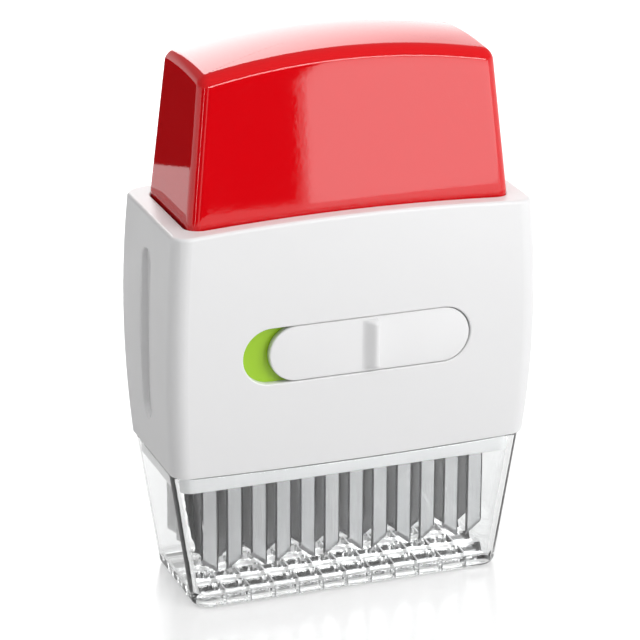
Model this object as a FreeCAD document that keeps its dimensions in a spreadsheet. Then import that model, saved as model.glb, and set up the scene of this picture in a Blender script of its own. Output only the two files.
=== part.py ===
import FreeCAD, Part
import math
import os

import Sketcher
from FreeCAD import Placement, Rotation, Vector

# Blade meat tenderizer: a push handle drives a blade carriage down through a slotted clear guard.
# Millimetres, +Z up, front towards -Y, origin at the middle of the guard's foot.

doc = FreeCAD.newDocument("BladeTenderizer")
sheet = doc.addObject("Spreadsheet::Sheet", "sizes")

DRIVING_SIZES = [
    ("travel", 26.5, "handle stroke"),
    ("slideFit", 0.3, "gap between pieces that slide past each other"),
    ("restFit", 0.15, "gap between pieces that are fixed together"),
    ("boreFit", 0.06, "radial play of a post in its bore"),
    ("guardHeight", 38.6, "clear guard, foot to upper edge"),
    ("guardFootHalfX", 43.4, "guard foot half width"),
    ("guardFootHalfY", 18.6, "guard foot half depth"),
    ("guardTopHalfX", 49.3, "guard half width under the housing"),
    ("guardTopHalfY", 19.5, "guard half depth under the housing"),
    ("guardWall", 2.0, "guard wall"),
    ("guardPlate", 3.6, "slotted foot plate"),
    ("guardCorner", 5.5, "guard upright corner radius"),
    ("guardFootRound", 1.6, "rounding under the guard foot"),
    ("guardTopRound", 0.4, "rounding of the guard's upper edge"),
    ("seamGap", 0.3, "shadow line between guard and housing"),
    ("housingTop", 105.4, "rim level at the ends"),
    ("rimCrown", 2.0, "rise of the rim in the middle"),
    ("hemSag", 0.9, "drop of the lower edge in the middle"),
    ("housingBelly", 78.0, "level of the widest section"),
    ("hemLip", 0.4, "how far the hem stands out past the guard"),
    ("bellySwellX", 1.3, "how much wider the belly is than the hem, each side"),
    ("bellySwellY", 3.1, "how much deeper the belly is than the hem, each side"),
    ("rimPinchX", 1.8, "how much narrower the rim is than the belly, each side"),
    ("rimPinchY", 0.4, "how much less deep the rim is than the belly, each side"),
    ("housingCorner", 4.5, "upright corner radius"),
    ("housingWall", 2.2, "housing wall"),
    ("rimDepth", 2.8, "thickness of the rim's inturned deck at the ends"),
    ("rimRound", 0.9, "rounding of the rim's outer edge"),
    ("mouthRound", 0.4, "rounding of the rim's inner edge"),
    ("hemRound", 0.4, "rounding of the hem's outer edge"),
    ("lipRound", 0.4, "rounding of the recess's and the grooves' edges"),
    ("rimLandX", 5.1, "rim land beside the cap"),
    ("rimLandY", 4.7, "rim land in front of the cap and behind it"),
    ("capDrawX", 4.4, "how much narrower the cap is at its top, each side"),
    ("capDrawY", 5.4, "how much less deep the cap is at its top, each side"),
    ("capTop", 143.2, "cap top level at the ends"),
    ("capCrownX", 4.2, "rise of the cap top across its width"),
    ("capCrownY", 0.9, "rise of the cap top across its depth"),
    ("capCorner", 4.5, "cap upright corner radius"),
    ("capEdgeRound", 2.2, "rounding of the cap top edge"),
    ("capWall", 2.2, "cap wall"),
    ("capGap", 0.45, "gap between cap and rim"),
    ("bossRadius", 3.5, "screw boss under the cap"),
    ("bossX", 24.0, "screw boss place"),
    ("recessLevel", 71.2, "lock recess height"),
    ("recessHalfX", 31.6, "lock recess half length"),
    ("recessHalfZ", 7.8, "lock recess half height"),
    ("recessDepth", 2.6, "recess floor behind the belly's front"),
    ("recessFloorWall", 1.8, "wall behind the recess floor"),
    ("recessRim", 2.0, "pad round the recess inside the housing"),
    ("lockTravel", 7.0, "slider stroke"),
    ("sliderGap", 0.25, "gap round the slider"),
    ("sliderPlate", 1.9, "slider thickness"),
    ("ribHalfWidth", 1.75, "grip rib half width"),
    ("ribHeight", 2.2, "grip rib height over the slider"),
    ("ribRound", 0.9, "rounding of the grip rib's front"),
    ("sliderRound", 0.4, "rounding of the slider's front edge"),
    ("ribCorner", 0.8, "grip rib and bolt flange corner radius"),
    ("tongueHalf", 2.0, "lock tongue half side"),
    ("studDrop", 1.2, "stud and tongue below the recess's middle"),
    ("tongueReach", 2.5, "how far the tongue goes through the column's wall"),
    ("boltFlangeHalf", 3.9, "bolt flange half side"),
    ("boltFlangeThick", 1.3, "bolt flange thickness"),
    ("lockScrewRadius", 0.7, "lock screw shank radius"),
    ("lockScrewHead", 1.3, "lock screw head radius"),
    ("indicatorThick", 0.5, "green insert thickness"),
    ("indicatorEnd", -19.0, "inner end of the green insert"),
    ("insertFit", 0.05, "gap round the green insert"),
    ("grooveHalfZ", 23.4, "side groove half height"),
    ("grooveHalfY", 3.85, "side groove half width"),
    ("grooveLevel", 73.0, "side groove centre height"),
    ("grooveDepth", 2.1, "side groove floor inside the belly's side"),
    ("railWall", 1.8, "wall round the side groove"),
    ("flangeTop", 102.3, "top of the core flange"),
    ("flangeThick", 3.1, "core flange"),
    ("flangeGapX", 0.6, "gap between the flange and the housing's side walls"),
    ("flangeGapY", 1.5, "gap between the flange and the lock bolt"),
    ("columnHalfX", 19.0, "core column half width"),
    ("columnHalfY", 9.0, "core column half depth"),
    ("columnCorner", 1.5, "core column upright corner radius"),
    ("columnWall", 2.6, "core column wall"),
    ("columnFoot", 4.0, "core column floor"),
    ("deckTop", 48.0, "top of the neck frame deck"),
    ("deckThick", 3.0, "neck frame deck"),
    ("neckWall", 1.4, "neck frame wall"),
    ("neckRound", 0.4, "rounding of the neck band's lower edge"),
    ("plateCorner", 3.0, "upright corner radius of the neck and the flange"),
    ("neckFoot", 33.6, "lower edge of the neck band"),
    ("carriageGapX", 3.8, "gap between the carriage's ends and the neck"),
    ("carriageGapY", 1.2, "gap between the carriage and the neck, front and back"),
    ("carriageCorner", 2.0, "carriage upright corner radius"),
    ("carriageFoot", 34.2, "underside of the comb"),
    ("combThick", 4.6, "comb plate"),
    ("headHeight", 1.6, "blade head height"),
    ("headHalfWidth", 2.9, "blade head half width"),
    ("headMargin", 0.4, "carriage past the last blade head"),
    ("bladesPerRow", 12, "blades in a row"),
    ("bladeRows", 4, "rows of blades"),
    ("rowPitch", 8.0, "row spacing"),
    ("bladeHalfWidth", 2.25, "blade half width"),
    ("bladeThick", 0.6, "blade thickness"),
    ("tipLevel", 7.4, "blade tips at rest"),
    ("tipSlant", 3.6, "height of the slanted tip"),
    ("bladeFit", 0.1, "gap round a blade in the comb"),
    ("slotHalfX", 2.9, "guard slot half width"),
    ("slotHalfY", 0.9, "guard slot half depth"),
    ("slotFunnel", 1.6, "depth of the funnel over a guard slot"),
    ("funnelSlope", 1.8, "how far the funnel opens past the slot's sides"),
    ("funnelWall", 0.4, "wall between neighbouring funnels"),
    ("postInset", 12.4, "guide post place in from the neck's end"),
    ("postRadius", 2.8, "guide post radius"),
    ("postTop", 106.0, "guide post top"),
    ("postPress", 0.02, "play of a post in its socket"),
    ("socketDepth", 2.0, "guide post socket"),
    ("springWire", 0.9, "spring wire diameter"),
    ("springRadius", 4.4, "spring mean radius"),
    ("springTurns", 9, "spring turns"),
    ("screwRadius", 1.25, "carriage and cap screw shank radius"),
    ("screwHead", 2.5, "carriage and cap screw head radius"),
    ("screwHeadThick", 1.6, "screw head height"),
    ("columnScrewX", 12.0, "column screw place"),
    ("combScrewInset", 6.7, "comb screw place in from the carriage's end"),
    ("screwGrip", 7.5, "length of a cap screw above the flange"),
    ("screwSpare", 0.5, "free depth past a screw's tip"),
]

for row, (alias, value, note) in enumerate(DRIVING_SIZES, start=1):
    sheet.set(f"A{row}", note)
    sheet.set(f"B{row}", str(value))
    sheet.setAlias(f"B{row}", alias)
doc.recompute()

# sizes that follow from the ones above: the housing from the guard, the rest from both
HEM_X = "(sizes.guardTopHalfX + sizes.hemLip)"
HEM_Y = "(sizes.guardTopHalfY + sizes.hemLip)"
BELLY_X = f"({HEM_X} + sizes.bellySwellX)"
BELLY_Y = f"({HEM_Y} + sizes.bellySwellY)"
RIM_X = f"({BELLY_X} - sizes.rimPinchX)"
RIM_Y = f"({BELLY_Y} - sizes.rimPinchY)"
CAP_X = f"({RIM_X} - sizes.rimLandX)"
CAP_Y = f"({RIM_Y} - sizes.rimLandY)"
CAP_TOP_X = f"({CAP_X} - sizes.capDrawX)"
CAP_TOP_Y = f"({CAP_Y} - sizes.capDrawY)"
RECESS_FLOOR = f"({BELLY_Y} - sizes.recessDepth)"
RECESS_BACK = f"({RECESS_FLOOR} - sizes.recessFloorWall)"
BOLT_FRONT = f"({RECESS_BACK} - sizes.slideFit)"
STUD_LEVEL = "(sizes.recessLevel - sizes.studDrop)"
TONGUE_TIP = "(sizes.columnHalfY - sizes.tongueReach)"
GROOVE_FLOOR = f"({BELLY_X} - sizes.grooveDepth)"
FLANGE_X = f"({RIM_X} - sizes.housingWall - sizes.flangeGapX)"
FLANGE_Y = f"({BOLT_FRONT} - sizes.boltFlangeThick - sizes.flangeGapY)"
FLANGE_FOOT = "(sizes.flangeTop - sizes.flangeThick)"
NECK_RISE = "sizes.neckFoot / sizes.guardHeight"
NECK_X = (f"(sizes.guardFootHalfX + (sizes.guardTopHalfX - sizes.guardFootHalfX) * {NECK_RISE}"
          " - sizes.guardWall - sizes.restFit)")
NECK_Y = (f"(sizes.guardFootHalfY + (sizes.guardTopHalfY - sizes.guardFootHalfY) * {NECK_RISE}"
          " - sizes.guardWall - sizes.restFit)")
CARRIAGE_X = f"({NECK_X} - sizes.neckWall - sizes.carriageGapX)"
CARRIAGE_Y = f"({NECK_Y} - sizes.neckWall - sizes.carriageGapY)"
COMB_TOP = "(sizes.carriageFoot + sizes.combThick)"
CLAMP_THICK = f"(sizes.deckTop - sizes.deckThick - sizes.restFit - {COMB_TOP})"
CLAMP_TOP = f"({COMB_TOP} + {CLAMP_THICK})"
COMB_SCREW_X = f"({CARRIAGE_X} - sizes.combScrewInset)"
PITCH = f"(2 * ({CARRIAGE_X} - sizes.headHalfWidth - sizes.headMargin) / (sizes.bladesPerRow - 1))"
FIRST_X = f"(-(sizes.bladesPerRow - 1) / 2 * {PITCH})"
FIRST_Y = "(-(sizes.bladeRows - 1) / 2 * sizes.rowPitch)"
POST_X = f"({NECK_X} - sizes.postInset)"
SCREW_BORE = "sizes.screwRadius + sizes.boreFit"

# how far cuts run past the body they cut: a length, a share of the width, and a turn in degrees
OVERRUN = "1"
REACH = 1.2
CROWN_SWEEP = 60
# lengths under this count as none
TINY = 1e-3

subParts = []


def number(formula):
    # value of a formula of driving sizes
    return float(sheet.evalExpression(str(formula)))


def newBody(label):
    body = doc.addObject("PartDesign::Body", label)
    body.Label = label
    body.Placement = Placement()
    subParts.append(body)
    return body


def sketchOn(body, name, role, offset="0"):
    # sketch parallel to one of the body's origin planes, at an offset along that plane's normal
    plane = [feature for feature in body.Origin.OriginFeatures if feature.Role == role][0]
    sketch = body.newObject("Sketcher::SketchObject", name)
    sketch.AttachmentSupport = [(plane, "")]
    sketch.MapMode = "FlatFace"
    sketch.setExpression("AttachmentOffset.Base.z", offset)
    return sketch


def pin(sketch, geometry, end, x, y):
    # ties one point of the sketch to two formulas
    for kind, formula in (("DistanceX", x), ("DistanceY", y)):
        index = sketch.addConstraint(Sketcher.Constraint(kind, -1, 1, geometry, end, number(formula)))
        sketch.setExpression(f"Constraints[{index}]", formula)


def flatArc(start, via, end):
    # arc through three points, with its circle's axis up, and whether it runs from start to end
    whole = Part.Circle(start, via, end)
    centre = whole.Center
    angles = [math.atan2(point.y - centre.y, point.x - centre.x) for point in (start, end)]
    turnsLeft = (via - start).cross(end - via).z > 0
    first, last = angles if turnsLeft else angles[::-1]
    if last < first:
        last += 2 * math.pi
    upright = Part.Circle(centre, Vector(0, 0, 1), whole.Radius)
    return Part.ArcOfCircle(upright, first, last), turnsLeft


def outline(sketch, corners):
    # closed outline through corners (x, y); a corner (x, y, viaX, viaY) is reached by an arc
    places = [Vector(number(corner[0]), number(corner[1]), 0) for corner in corners]
    edges = []
    for index, corner in enumerate(corners):
        start = places[index - 1]
        end = places[index]
        if len(corner) == 4:
            via = Vector(number(corner[2]), number(corner[3]), 0)
            arc, turnsLeft = flatArc(start, via, end)
            edge = sketch.addGeometry(arc, False)
            mark = sketch.addGeometry(Part.Point(via), True)
            edges.append((edge, 1 if turnsLeft else 2, 2 if turnsLeft else 1, mark, corner))
        else:
            edge = sketch.addGeometry(Part.LineSegment(start, end), False)
            edges.append((edge, 1, 2, None, corner))
    for index, (edge, first, last, mark, corner) in enumerate(edges):
        following = edges[(index + 1) % len(edges)]
        sketch.addConstraint(Sketcher.Constraint("Coincident", edge, last, following[0], following[1]))
        pin(sketch, edge, last, corner[0], corner[1])
        if mark is not None:
            pin(sketch, mark, 1, corner[2], corner[3])
            sketch.addConstraint(Sketcher.Constraint("PointOnObject", mark, 1, edge))


def roundedRectangle(sketch, halfX, halfY, radius, centreX="0", centreY="0"):
    # upright rectangle with four equal round corners, about a centre
    bend = f"({radius}) * (1 - cos(45))"
    right = f"{centreX} + {halfX}"
    left = f"{centreX} - ({halfX})"
    back = f"{centreY} + {halfY}"
    front = f"{centreY} - ({halfY})"
    outline(sketch, [
        (f"{right} - ({radius})", front),
        (right, f"{front} + {radius}", f"{right} - {bend}", f"{front} + {bend}"),
        (right, f"{back} - ({radius})"),
        (f"{right} - ({radius})", back, f"{right} - {bend}", f"{back} - {bend}"),
        (f"{left} + {radius}", back),
        (left, f"{back} - ({radius})", f"{left} + {bend}", f"{back} - {bend}"),
        (left, f"{front} + {radius}"),
        (f"{left} + {radius}", front, f"{left} + {bend}", f"{front} + {bend}"),
    ])


def stadium(sketch, halfLong, halfShort, centreX="0", centreY="0", upright=False):
    # oblong with half-round ends, lying along X or upright
    straight = f"({halfLong} - ({halfShort}))"
    if upright:
        low = f"{centreY} - {straight}"
        high = f"{centreY} + {straight}"
        outline(sketch, [
            (f"{centreX} - ({halfShort})", low),
            (f"{centreX} + {halfShort}", low, centreX, f"{centreY} - ({halfLong})"),
            (f"{centreX} + {halfShort}", high),
            (f"{centreX} - ({halfShort})", high, centreX, f"{centreY} + {halfLong}"),
        ])
    else:
        left = f"{centreX} - {straight}"
        right = f"{centreX} + {straight}"
        outline(sketch, [
            (right, f"{centreY} - ({halfShort})"),
            (right, f"{centreY} + {halfShort}", f"{centreX} + {halfLong}", centreY),
            (left, f"{centreY} + {halfShort}"),
            (left, f"{centreY} - ({halfShort})", f"{centreX} - ({halfLong})", centreY),
        ])


def rectangle(sketch, halfX, halfY, centreX="0", centreY="0"):
    outline(sketch, [
        (f"{centreX} + {halfX}", f"{centreY} - ({halfY})"),
        (f"{centreX} + {halfX}", f"{centreY} + {halfY}"),
        (f"{centreX} - ({halfX})", f"{centreY} + {halfY}"),
        (f"{centreX} - ({halfX})", f"{centreY} - ({halfY})"),
    ])


def circle(sketch, radius, centreX="0", centreY="0"):
    edge = sketch.addGeometry(Part.Circle(Vector(number(centreX), number(centreY), 0), Vector(0, 0, 1),
                                          number(radius)), False)
    pin(sketch, edge, 3, centreX, centreY)
    index = sketch.addConstraint(Sketcher.Constraint("Radius", edge, number(radius)))
    sketch.setExpression(f"Constraints[{index}]", radius)


def extrude(body, kind, sketch, length, reverse=False, both=False):
    # Pad or Pocket of a sketch by a formula, along the sketch's normal or against it
    feature = body.newObject(f"PartDesign::{kind}", f"{kind}{sketch.Name}")
    feature.Profile = sketch
    feature.Type = "Length"
    feature.setExpression("Length", length)
    feature.Reversed = reverse
    if both:
        feature.SideType = "Symmetric"
    sketch.Visibility = False
    return feature


def pad(body, sketch, length, reverse=False, both=False):
    return extrude(body, "Pad", sketch, length, reverse, both)


def pocket(body, sketch, length, reverse=False, both=False):
    doc.recompute()
    before = body.Shape.Volume
    feature = extrude(body, "Pocket", sketch, length, reverse, both)
    doc.recompute()
    if not TINY < body.Shape.Volume < before - TINY:
        raise RuntimeError(f"{feature.Name} leaves {body.Shape.Volume} of {before}")
    return feature


def loft(body, kind, sketches):
    feature = body.newObject(f"PartDesign::{kind}", f"{kind}{sketches[0].Name}")
    feature.Profile = sketches[0]
    feature.Sections = sketches[1:]
    feature.Ruled = False
    return feature


def roundEdges(body, name, radius, chosen):
    # rounds the edges of the finished body that the test picks
    doc.recompute()
    base = body.Tip
    names = [f"Edge{index}" for index, edge in enumerate(base.Shape.Edges, start=1) if chosen(edge)]
    if not names:
        raise RuntimeError(f"{body.Label} has no such edge")
    fillet = body.newObject("PartDesign::Fillet", name)
    fillet.Base = (base, names)
    fillet.setExpression("Radius", radius)
    return fillet


def middleOf(edge):
    return edge.valueAt((edge.FirstParameter + edge.LastParameter) / 2)


def isOutside(edge, halfX, halfY, margin):
    # whether the middle of an edge lies outside a rectangle that is a margin smaller than given
    point = middleOf(edge)
    return abs(point.x) > number(halfX) - margin or abs(point.y) > number(halfY) - margin


def isUpright(edge):
    run = edge.Vertexes[-1].Point - edge.Vertexes[0].Point
    return run.Length > TINY and abs(run.z) > run.Length / math.sqrt(2)


def bowedCut(body, name, level, rise, above):
    # trims the body above (or below) an arc that spans its width and bows in the middle
    reach = f"{BELLY_X} * {REACH}"
    far = f"{level} + {BELLY_X}" if above else f"{level} - {BELLY_X}"
    # the arc passes through the level at the body's ends, so it is drawn a little past them
    ends = f"{level} - ({rise}) * ({REACH} * {REACH} - 1)"
    sketch = sketchOn(body, name, "XZ_Plane")
    outline(sketch, [
        (reach, ends, "0", f"{level} + {rise}"),
        (reach, far),
        (f"-({reach})", far),
        (f"-({reach})", ends),
    ])
    return pocket(body, sketch, f"2 * {REACH} * {BELLY_Y}", both=True)


def buildHousing():
    body = newBody("housing")
    low = "sizes.guardHeight + sizes.seamGap"
    sections = (
        ("Hem", f"{low} - sizes.hemSag", HEM_X, HEM_Y),
        ("Belly", "sizes.housingBelly", BELLY_X, BELLY_Y),
        ("Rim", "sizes.housingTop + sizes.rimCrown", RIM_X, RIM_Y),
    )
    outer = []
    inner = []
    for name, level, halfX, halfY in sections:
        sketch = sketchOn(body, f"Outer{name}", "XY_Plane", level)
        roundedRectangle(sketch, halfX, halfY, "sizes.housingCorner")
        outer.append(sketch)
    loft(body, "AdditiveLoft", outer)
    for name, level, halfX, halfY in sections:
        sketch = sketchOn(body, f"Inner{name}", "XY_Plane", level)
        roundedRectangle(sketch, f"{halfX} - sizes.housingWall", f"{halfY} - sizes.housingWall",
                         "sizes.housingCorner - sizes.housingWall")
        inner.append(sketch)
    loft(body, "SubtractiveLoft", inner)
    doc.recompute()

    # the rim's inturned deck, then its mouth for the cap
    deck = sketchOn(body, "RimDeck", "XY_Plane", "sizes.housingTop - sizes.rimDepth")
    roundedRectangle(deck, f"{RIM_X} - sizes.housingWall / 2", f"{RIM_Y} - sizes.housingWall / 2",
                     "sizes.housingCorner")
    pad(body, deck, "sizes.rimDepth + sizes.rimCrown")
    mouth = sketchOn(body, "Mouth", "XY_Plane", f"sizes.housingTop - sizes.rimDepth - {OVERRUN}")
    roundedRectangle(mouth, f"{CAP_X} + sizes.capGap", f"{CAP_Y} + sizes.capGap",
                     "sizes.capCorner + sizes.capGap")
    pocket(body, mouth, f"sizes.rimDepth + sizes.rimCrown + 2 * {OVERRUN}", reverse=True)
    bowedCut(body, "RimCrown", "sizes.housingTop", "sizes.rimCrown", True)
    bowedCut(body, "HemSag", low, "-sizes.hemSag", False)

    # lock recess: a pad inside the wall, the sunk floor, the insert's seat and the slot for the stud
    padSketch = sketchOn(body, "RecessPad", "XZ_Plane", RECESS_BACK)
    stadium(padSketch, "sizes.recessHalfX + sizes.recessRim", "sizes.recessHalfZ + sizes.recessRim",
            "0", "sizes.recessLevel")
    pad(body, padSketch, f"{BELLY_Y} - sizes.housingWall / 2 - {RECESS_BACK}")
    floor = sketchOn(body, "Recess", "XZ_Plane", RECESS_FLOOR)
    stadium(floor, "sizes.recessHalfX", "sizes.recessHalfZ", "0", "sizes.recessLevel")
    pocket(body, floor, f"sizes.recessDepth + {OVERRUN}", reverse=True)
    seat = sketchOn(body, "InsertSeat", "XZ_Plane", f"{RECESS_FLOOR} - sizes.indicatorThick")
    insertOutline(seat, "0")
    pocket(body, seat, "sizes.indicatorThick * 2", reverse=True)
    slot = sketchOn(body, "StudSlot", "XZ_Plane", f"{RECESS_BACK} - {OVERRUN}")
    reach = "(sizes.lockTravel / 2 + sizes.tongueHalf + sizes.sliderGap)"
    rectangle(slot, reach, "sizes.tongueHalf + sizes.sliderGap", "0", STUD_LEVEL)
    pocket(body, slot, f"sizes.recessFloorWall + 2 * {OVERRUN}", reverse=True)

    # side grooves, each backed by a rail inside
    rail = sketchOn(body, "Rail", "YZ_Plane", f"{GROOVE_FLOOR} - sizes.railWall")
    stadium(rail, "sizes.grooveHalfZ + sizes.railWall", "sizes.grooveHalfY + sizes.railWall",
            "0", "sizes.grooveLevel", upright=True)
    railPad = pad(body, rail, "sizes.railWall + sizes.grooveDepth / 3")
    groove = sketchOn(body, "Groove", "YZ_Plane", GROOVE_FLOOR)
    stadium(groove, "sizes.grooveHalfZ", "sizes.grooveHalfY", "0", "sizes.grooveLevel", upright=True)
    groovePocket = pocket(body, groove, f"sizes.grooveDepth + {OVERRUN}", reverse=True)
    mirror = body.newObject("PartDesign::Mirrored", "OtherSide")
    mirror.Originals = [railPad, groovePocket]
    plane = [feature for feature in body.Origin.OriginFeatures if feature.Role == "YZ_Plane"][0]
    mirror.MirrorPlane = (plane, [""])
    body.Tip = mirror
    roundHousing(body, low)
    return body


def roundHousing(body, low):
    wall = number("sizes.housingWall")
    rim = number("sizes.housingTop") - TINY
    hem = number(low) + TINY
    land = number("sizes.rimLandX") / 2
    roundEdges(body, "RimRound", "sizes.rimRound",
               lambda edge: edge.BoundBox.ZMin > rim and isOutside(edge, RIM_X, RIM_Y, land))
    roundEdges(body, "MouthRound", "sizes.mouthRound",
               lambda edge: edge.BoundBox.ZMin > rim and not isOutside(edge, RIM_X, RIM_Y, land))
    roundEdges(body, "HemRound", "sizes.hemRound",
               lambda edge: edge.BoundBox.ZMax < hem and isOutside(edge, HEM_X, HEM_Y, wall / 2))

    level = number("sizes.recessLevel")
    halfX = number("sizes.recessHalfX + sizes.lipRound")
    halfZ = number("sizes.recessHalfZ + sizes.lipRound")
    front = -number(f"{RECESS_FLOOR} + sizes.recessDepth / 3")

    def isRecessLip(edge):
        point = middleOf(edge)
        nearby = abs(point.x) < halfX and abs(point.z - level) < halfZ
        return nearby and edge.BoundBox.YMax < front

    roundEdges(body, "RecessRound", "sizes.lipRound", isRecessLip)
    grooveLevel = number("sizes.grooveLevel")
    grooveHalfZ = number("sizes.grooveHalfZ + sizes.lipRound")
    grooveHalfY = number("sizes.grooveHalfY + sizes.lipRound")
    side = number(f"{GROOVE_FLOOR} + sizes.lipRound")

    def isGrooveLip(edge):
        point = middleOf(edge)
        nearby = abs(point.y) < grooveHalfY and abs(point.z - grooveLevel) < grooveHalfZ
        return nearby and min(abs(edge.BoundBox.XMin), abs(edge.BoundBox.XMax)) > side

    roundEdges(body, "GrooveRound", "sizes.lipRound", isGrooveLip)


def insertOutline(sketch, gap):
    # the green insert fills the recess's left end
    straight = "(sizes.recessHalfX - sizes.recessHalfZ)"
    high = f"sizes.recessLevel + sizes.recessHalfZ - {gap}"
    low = f"sizes.recessLevel - sizes.recessHalfZ + {gap}"
    outline(sketch, [
        ("sizes.indicatorEnd", low),
        ("sizes.indicatorEnd", high),
        (f"-{straight}", high),
        (f"-{straight}", low, f"-sizes.recessHalfX + {gap}", "sizes.recessLevel"),
    ])


def buildIndicator():
    body = newBody("lock_indicator")
    sketch = sketchOn(body, "Insert", "XZ_Plane", f"{RECESS_FLOOR} - sizes.indicatorThick")
    insertOutline(sketch, "sizes.insertFit")
    pad(body, sketch, "sizes.indicatorThick")
    return body


def buildCap():
    body = newBody("handle_cap")
    mouthLevel = "sizes.housingTop + sizes.rimCrown"
    skirtFoot = "sizes.flangeTop + sizes.restFit"
    skirt = sketchOn(body, "Skirt", "XY_Plane", skirtFoot)
    roundedRectangle(skirt, CAP_X, CAP_Y, "sizes.capCorner")
    pad(body, skirt, f"{mouthLevel} - ({skirtFoot})")
    ends = []
    for name, level, halfX, halfY in (
        ("CapMouth", mouthLevel, CAP_X, CAP_Y),
        ("CapTop", "sizes.capTop + sizes.capCrownX", CAP_TOP_X, CAP_TOP_Y),
    ):
        sketch = sketchOn(body, name, "XY_Plane", level)
        roundedRectangle(sketch, halfX, halfY, "sizes.capCorner")
        ends.append(sketch)
    loft(body, "AdditiveLoft", ends)
    doc.recompute()

    # top crowned both ways: an arc across the width, swept about an axis far below
    sweepRadius = f"({CAP_TOP_Y} * {CAP_TOP_Y} / (2 * sizes.capCrownY))"
    crown = sketchOn(body, "CapCrown", "XZ_Plane")
    reach = f"{CAP_TOP_X} * {REACH}"
    peak = "sizes.capTop + sizes.capCrownX"
    ends = f"sizes.capTop - sizes.capCrownX * ({REACH} * {REACH} - 1)"
    outline(crown, [
        (reach, ends, "0", peak),
        (reach, f"{peak} + {CAP_TOP_Y}"),
        (f"-({reach})", f"{peak} + {CAP_TOP_Y}"),
        (f"-({reach})", ends),
    ])
    axis = crown.addGeometry(Part.LineSegment(Vector(-1, 0, 0), Vector(1, 0, 0)), True)
    pin(crown, axis, 1, f"-{CAP_TOP_X}", f"{peak} - {sweepRadius}")
    pin(crown, axis, 2, CAP_TOP_X, f"{peak} - {sweepRadius}")
    groove = body.newObject("PartDesign::Groove", "CrownGroove")
    groove.Profile = crown
    groove.ReferenceAxis = (crown, ["Axis0"])
    groove.Angle = CROWN_SWEEP
    groove.Midplane = True
    doc.recompute()
    topEdge = number("sizes.capTop - sizes.capCrownX")
    roundEdges(body, "CapEdgeRound", "sizes.capEdgeRound",
               lambda edge: edge.BoundBox.ZMin > topEdge and not isUpright(edge))

    # hollow from below
    hollow = []
    for name, level, halfX, halfY in (
        ("HollowMouth", mouthLevel, CAP_X, CAP_Y),
        ("HollowTop", "sizes.capTop - sizes.capWall", CAP_TOP_X, CAP_TOP_Y),
    ):
        sketch = sketchOn(body, name, "XY_Plane", level)
        roundedRectangle(sketch, f"{halfX} - sizes.capWall", f"{halfY} - sizes.capWall",
                         "sizes.capCorner - sizes.capWall")
        hollow.append(sketch)
    loft(body, "SubtractiveLoft", hollow)
    entry = sketchOn(body, "HollowSkirt", "XY_Plane", f"{skirtFoot} - {OVERRUN}")
    roundedRectangle(entry, f"{CAP_X} - sizes.capWall", f"{CAP_Y} - sizes.capWall",
                     "sizes.capCorner - sizes.capWall")
    pocket(body, entry, f"{mouthLevel} - ({skirtFoot}) + {OVERRUN}", reverse=True)

    bosses = sketchOn(body, "Bosses", "XY_Plane", skirtFoot)
    for side in ("-", ""):
        circle(bosses, "sizes.bossRadius", f"{side}sizes.bossX")
    pad(body, bosses, f"sizes.capTop - sizes.capWall / 2 - ({skirtFoot})")
    pilots = sketchOn(body, "Pilots", "XY_Plane", f"{skirtFoot} - {OVERRUN}")
    for side in ("-", ""):
        circle(pilots, SCREW_BORE, f"{side}sizes.bossX")
    pocket(body, pilots, f"sizes.screwGrip + sizes.screwSpare + {OVERRUN}", reverse=True)
    return body


def buildCore():
    # flange under the cap, column through the deck, and the lock's gate in the column's front wall
    body = newBody("drive_core")
    column = sketchOn(body, "Column", "XY_Plane", CLAMP_TOP)
    roundedRectangle(column, "sizes.columnHalfX", "sizes.columnHalfY", "sizes.columnCorner")
    pad(body, column, f"sizes.flangeTop - {CLAMP_TOP}")
    flange = sketchOn(body, "Flange", "XY_Plane", FLANGE_FOOT)
    roundedRectangle(flange, FLANGE_X, FLANGE_Y, "sizes.plateCorner")
    pad(body, flange, "sizes.flangeThick")
    hollow = sketchOn(body, "ColumnHollow", "XY_Plane", f"{CLAMP_TOP} + sizes.columnFoot")
    rectangle(hollow, "sizes.columnHalfX - sizes.columnWall", "sizes.columnHalfY - sizes.columnWall")
    pocket(body, hollow, f"sizes.flangeTop - {CLAMP_TOP}", reverse=True)

    rest = "(sizes.lockTravel / 2)"
    half = "(sizes.tongueHalf + sizes.slideFit)"
    foot = f"{STUD_LEVEL} - {half}"
    step = f"{STUD_LEVEL} + {half}"
    top = f"{STUD_LEVEL} + sizes.travel + {half}"
    gate = sketchOn(body, "Gate", "XZ_Plane", f"sizes.columnHalfY - sizes.columnWall - {OVERRUN}")
    outline(gate, [
        (f"{rest} + {half}", foot),
        (f"{rest} + {half}", top),
        (f"-{rest} - {half}", top),
        (f"-{rest} - {half}", f"{top} - 2 * {half}"),
        (f"{rest} - {half}", f"{top} - 2 * {half}"),
        (f"{rest} - {half}", step),
        (f"-{rest} - {half}", step),
        (f"-{rest} - {half}", foot),
    ])
    pocket(body, gate, f"sizes.columnWall + 2 * {OVERRUN}", reverse=True)

    holes = sketchOn(body, "FlangeHoles", "XY_Plane", f"{FLANGE_FOOT} - {OVERRUN}")
    for side in ("-", ""):
        circle(holes, "sizes.postRadius + sizes.boreFit", f"{side}{POST_X}")
        circle(holes, SCREW_BORE, f"{side}sizes.bossX")
    pocket(body, holes, f"sizes.flangeThick + 2 * {OVERRUN}", reverse=True)
    footHoles = sketchOn(body, "FootHoles", "XY_Plane", f"{CLAMP_TOP} - {OVERRUN}")
    for side in ("-", ""):
        circle(footHoles, SCREW_BORE, f"{side}sizes.columnScrewX")
    pocket(body, footHoles, f"sizes.columnFoot + 2 * {OVERRUN}", reverse=True)
    return body


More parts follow.
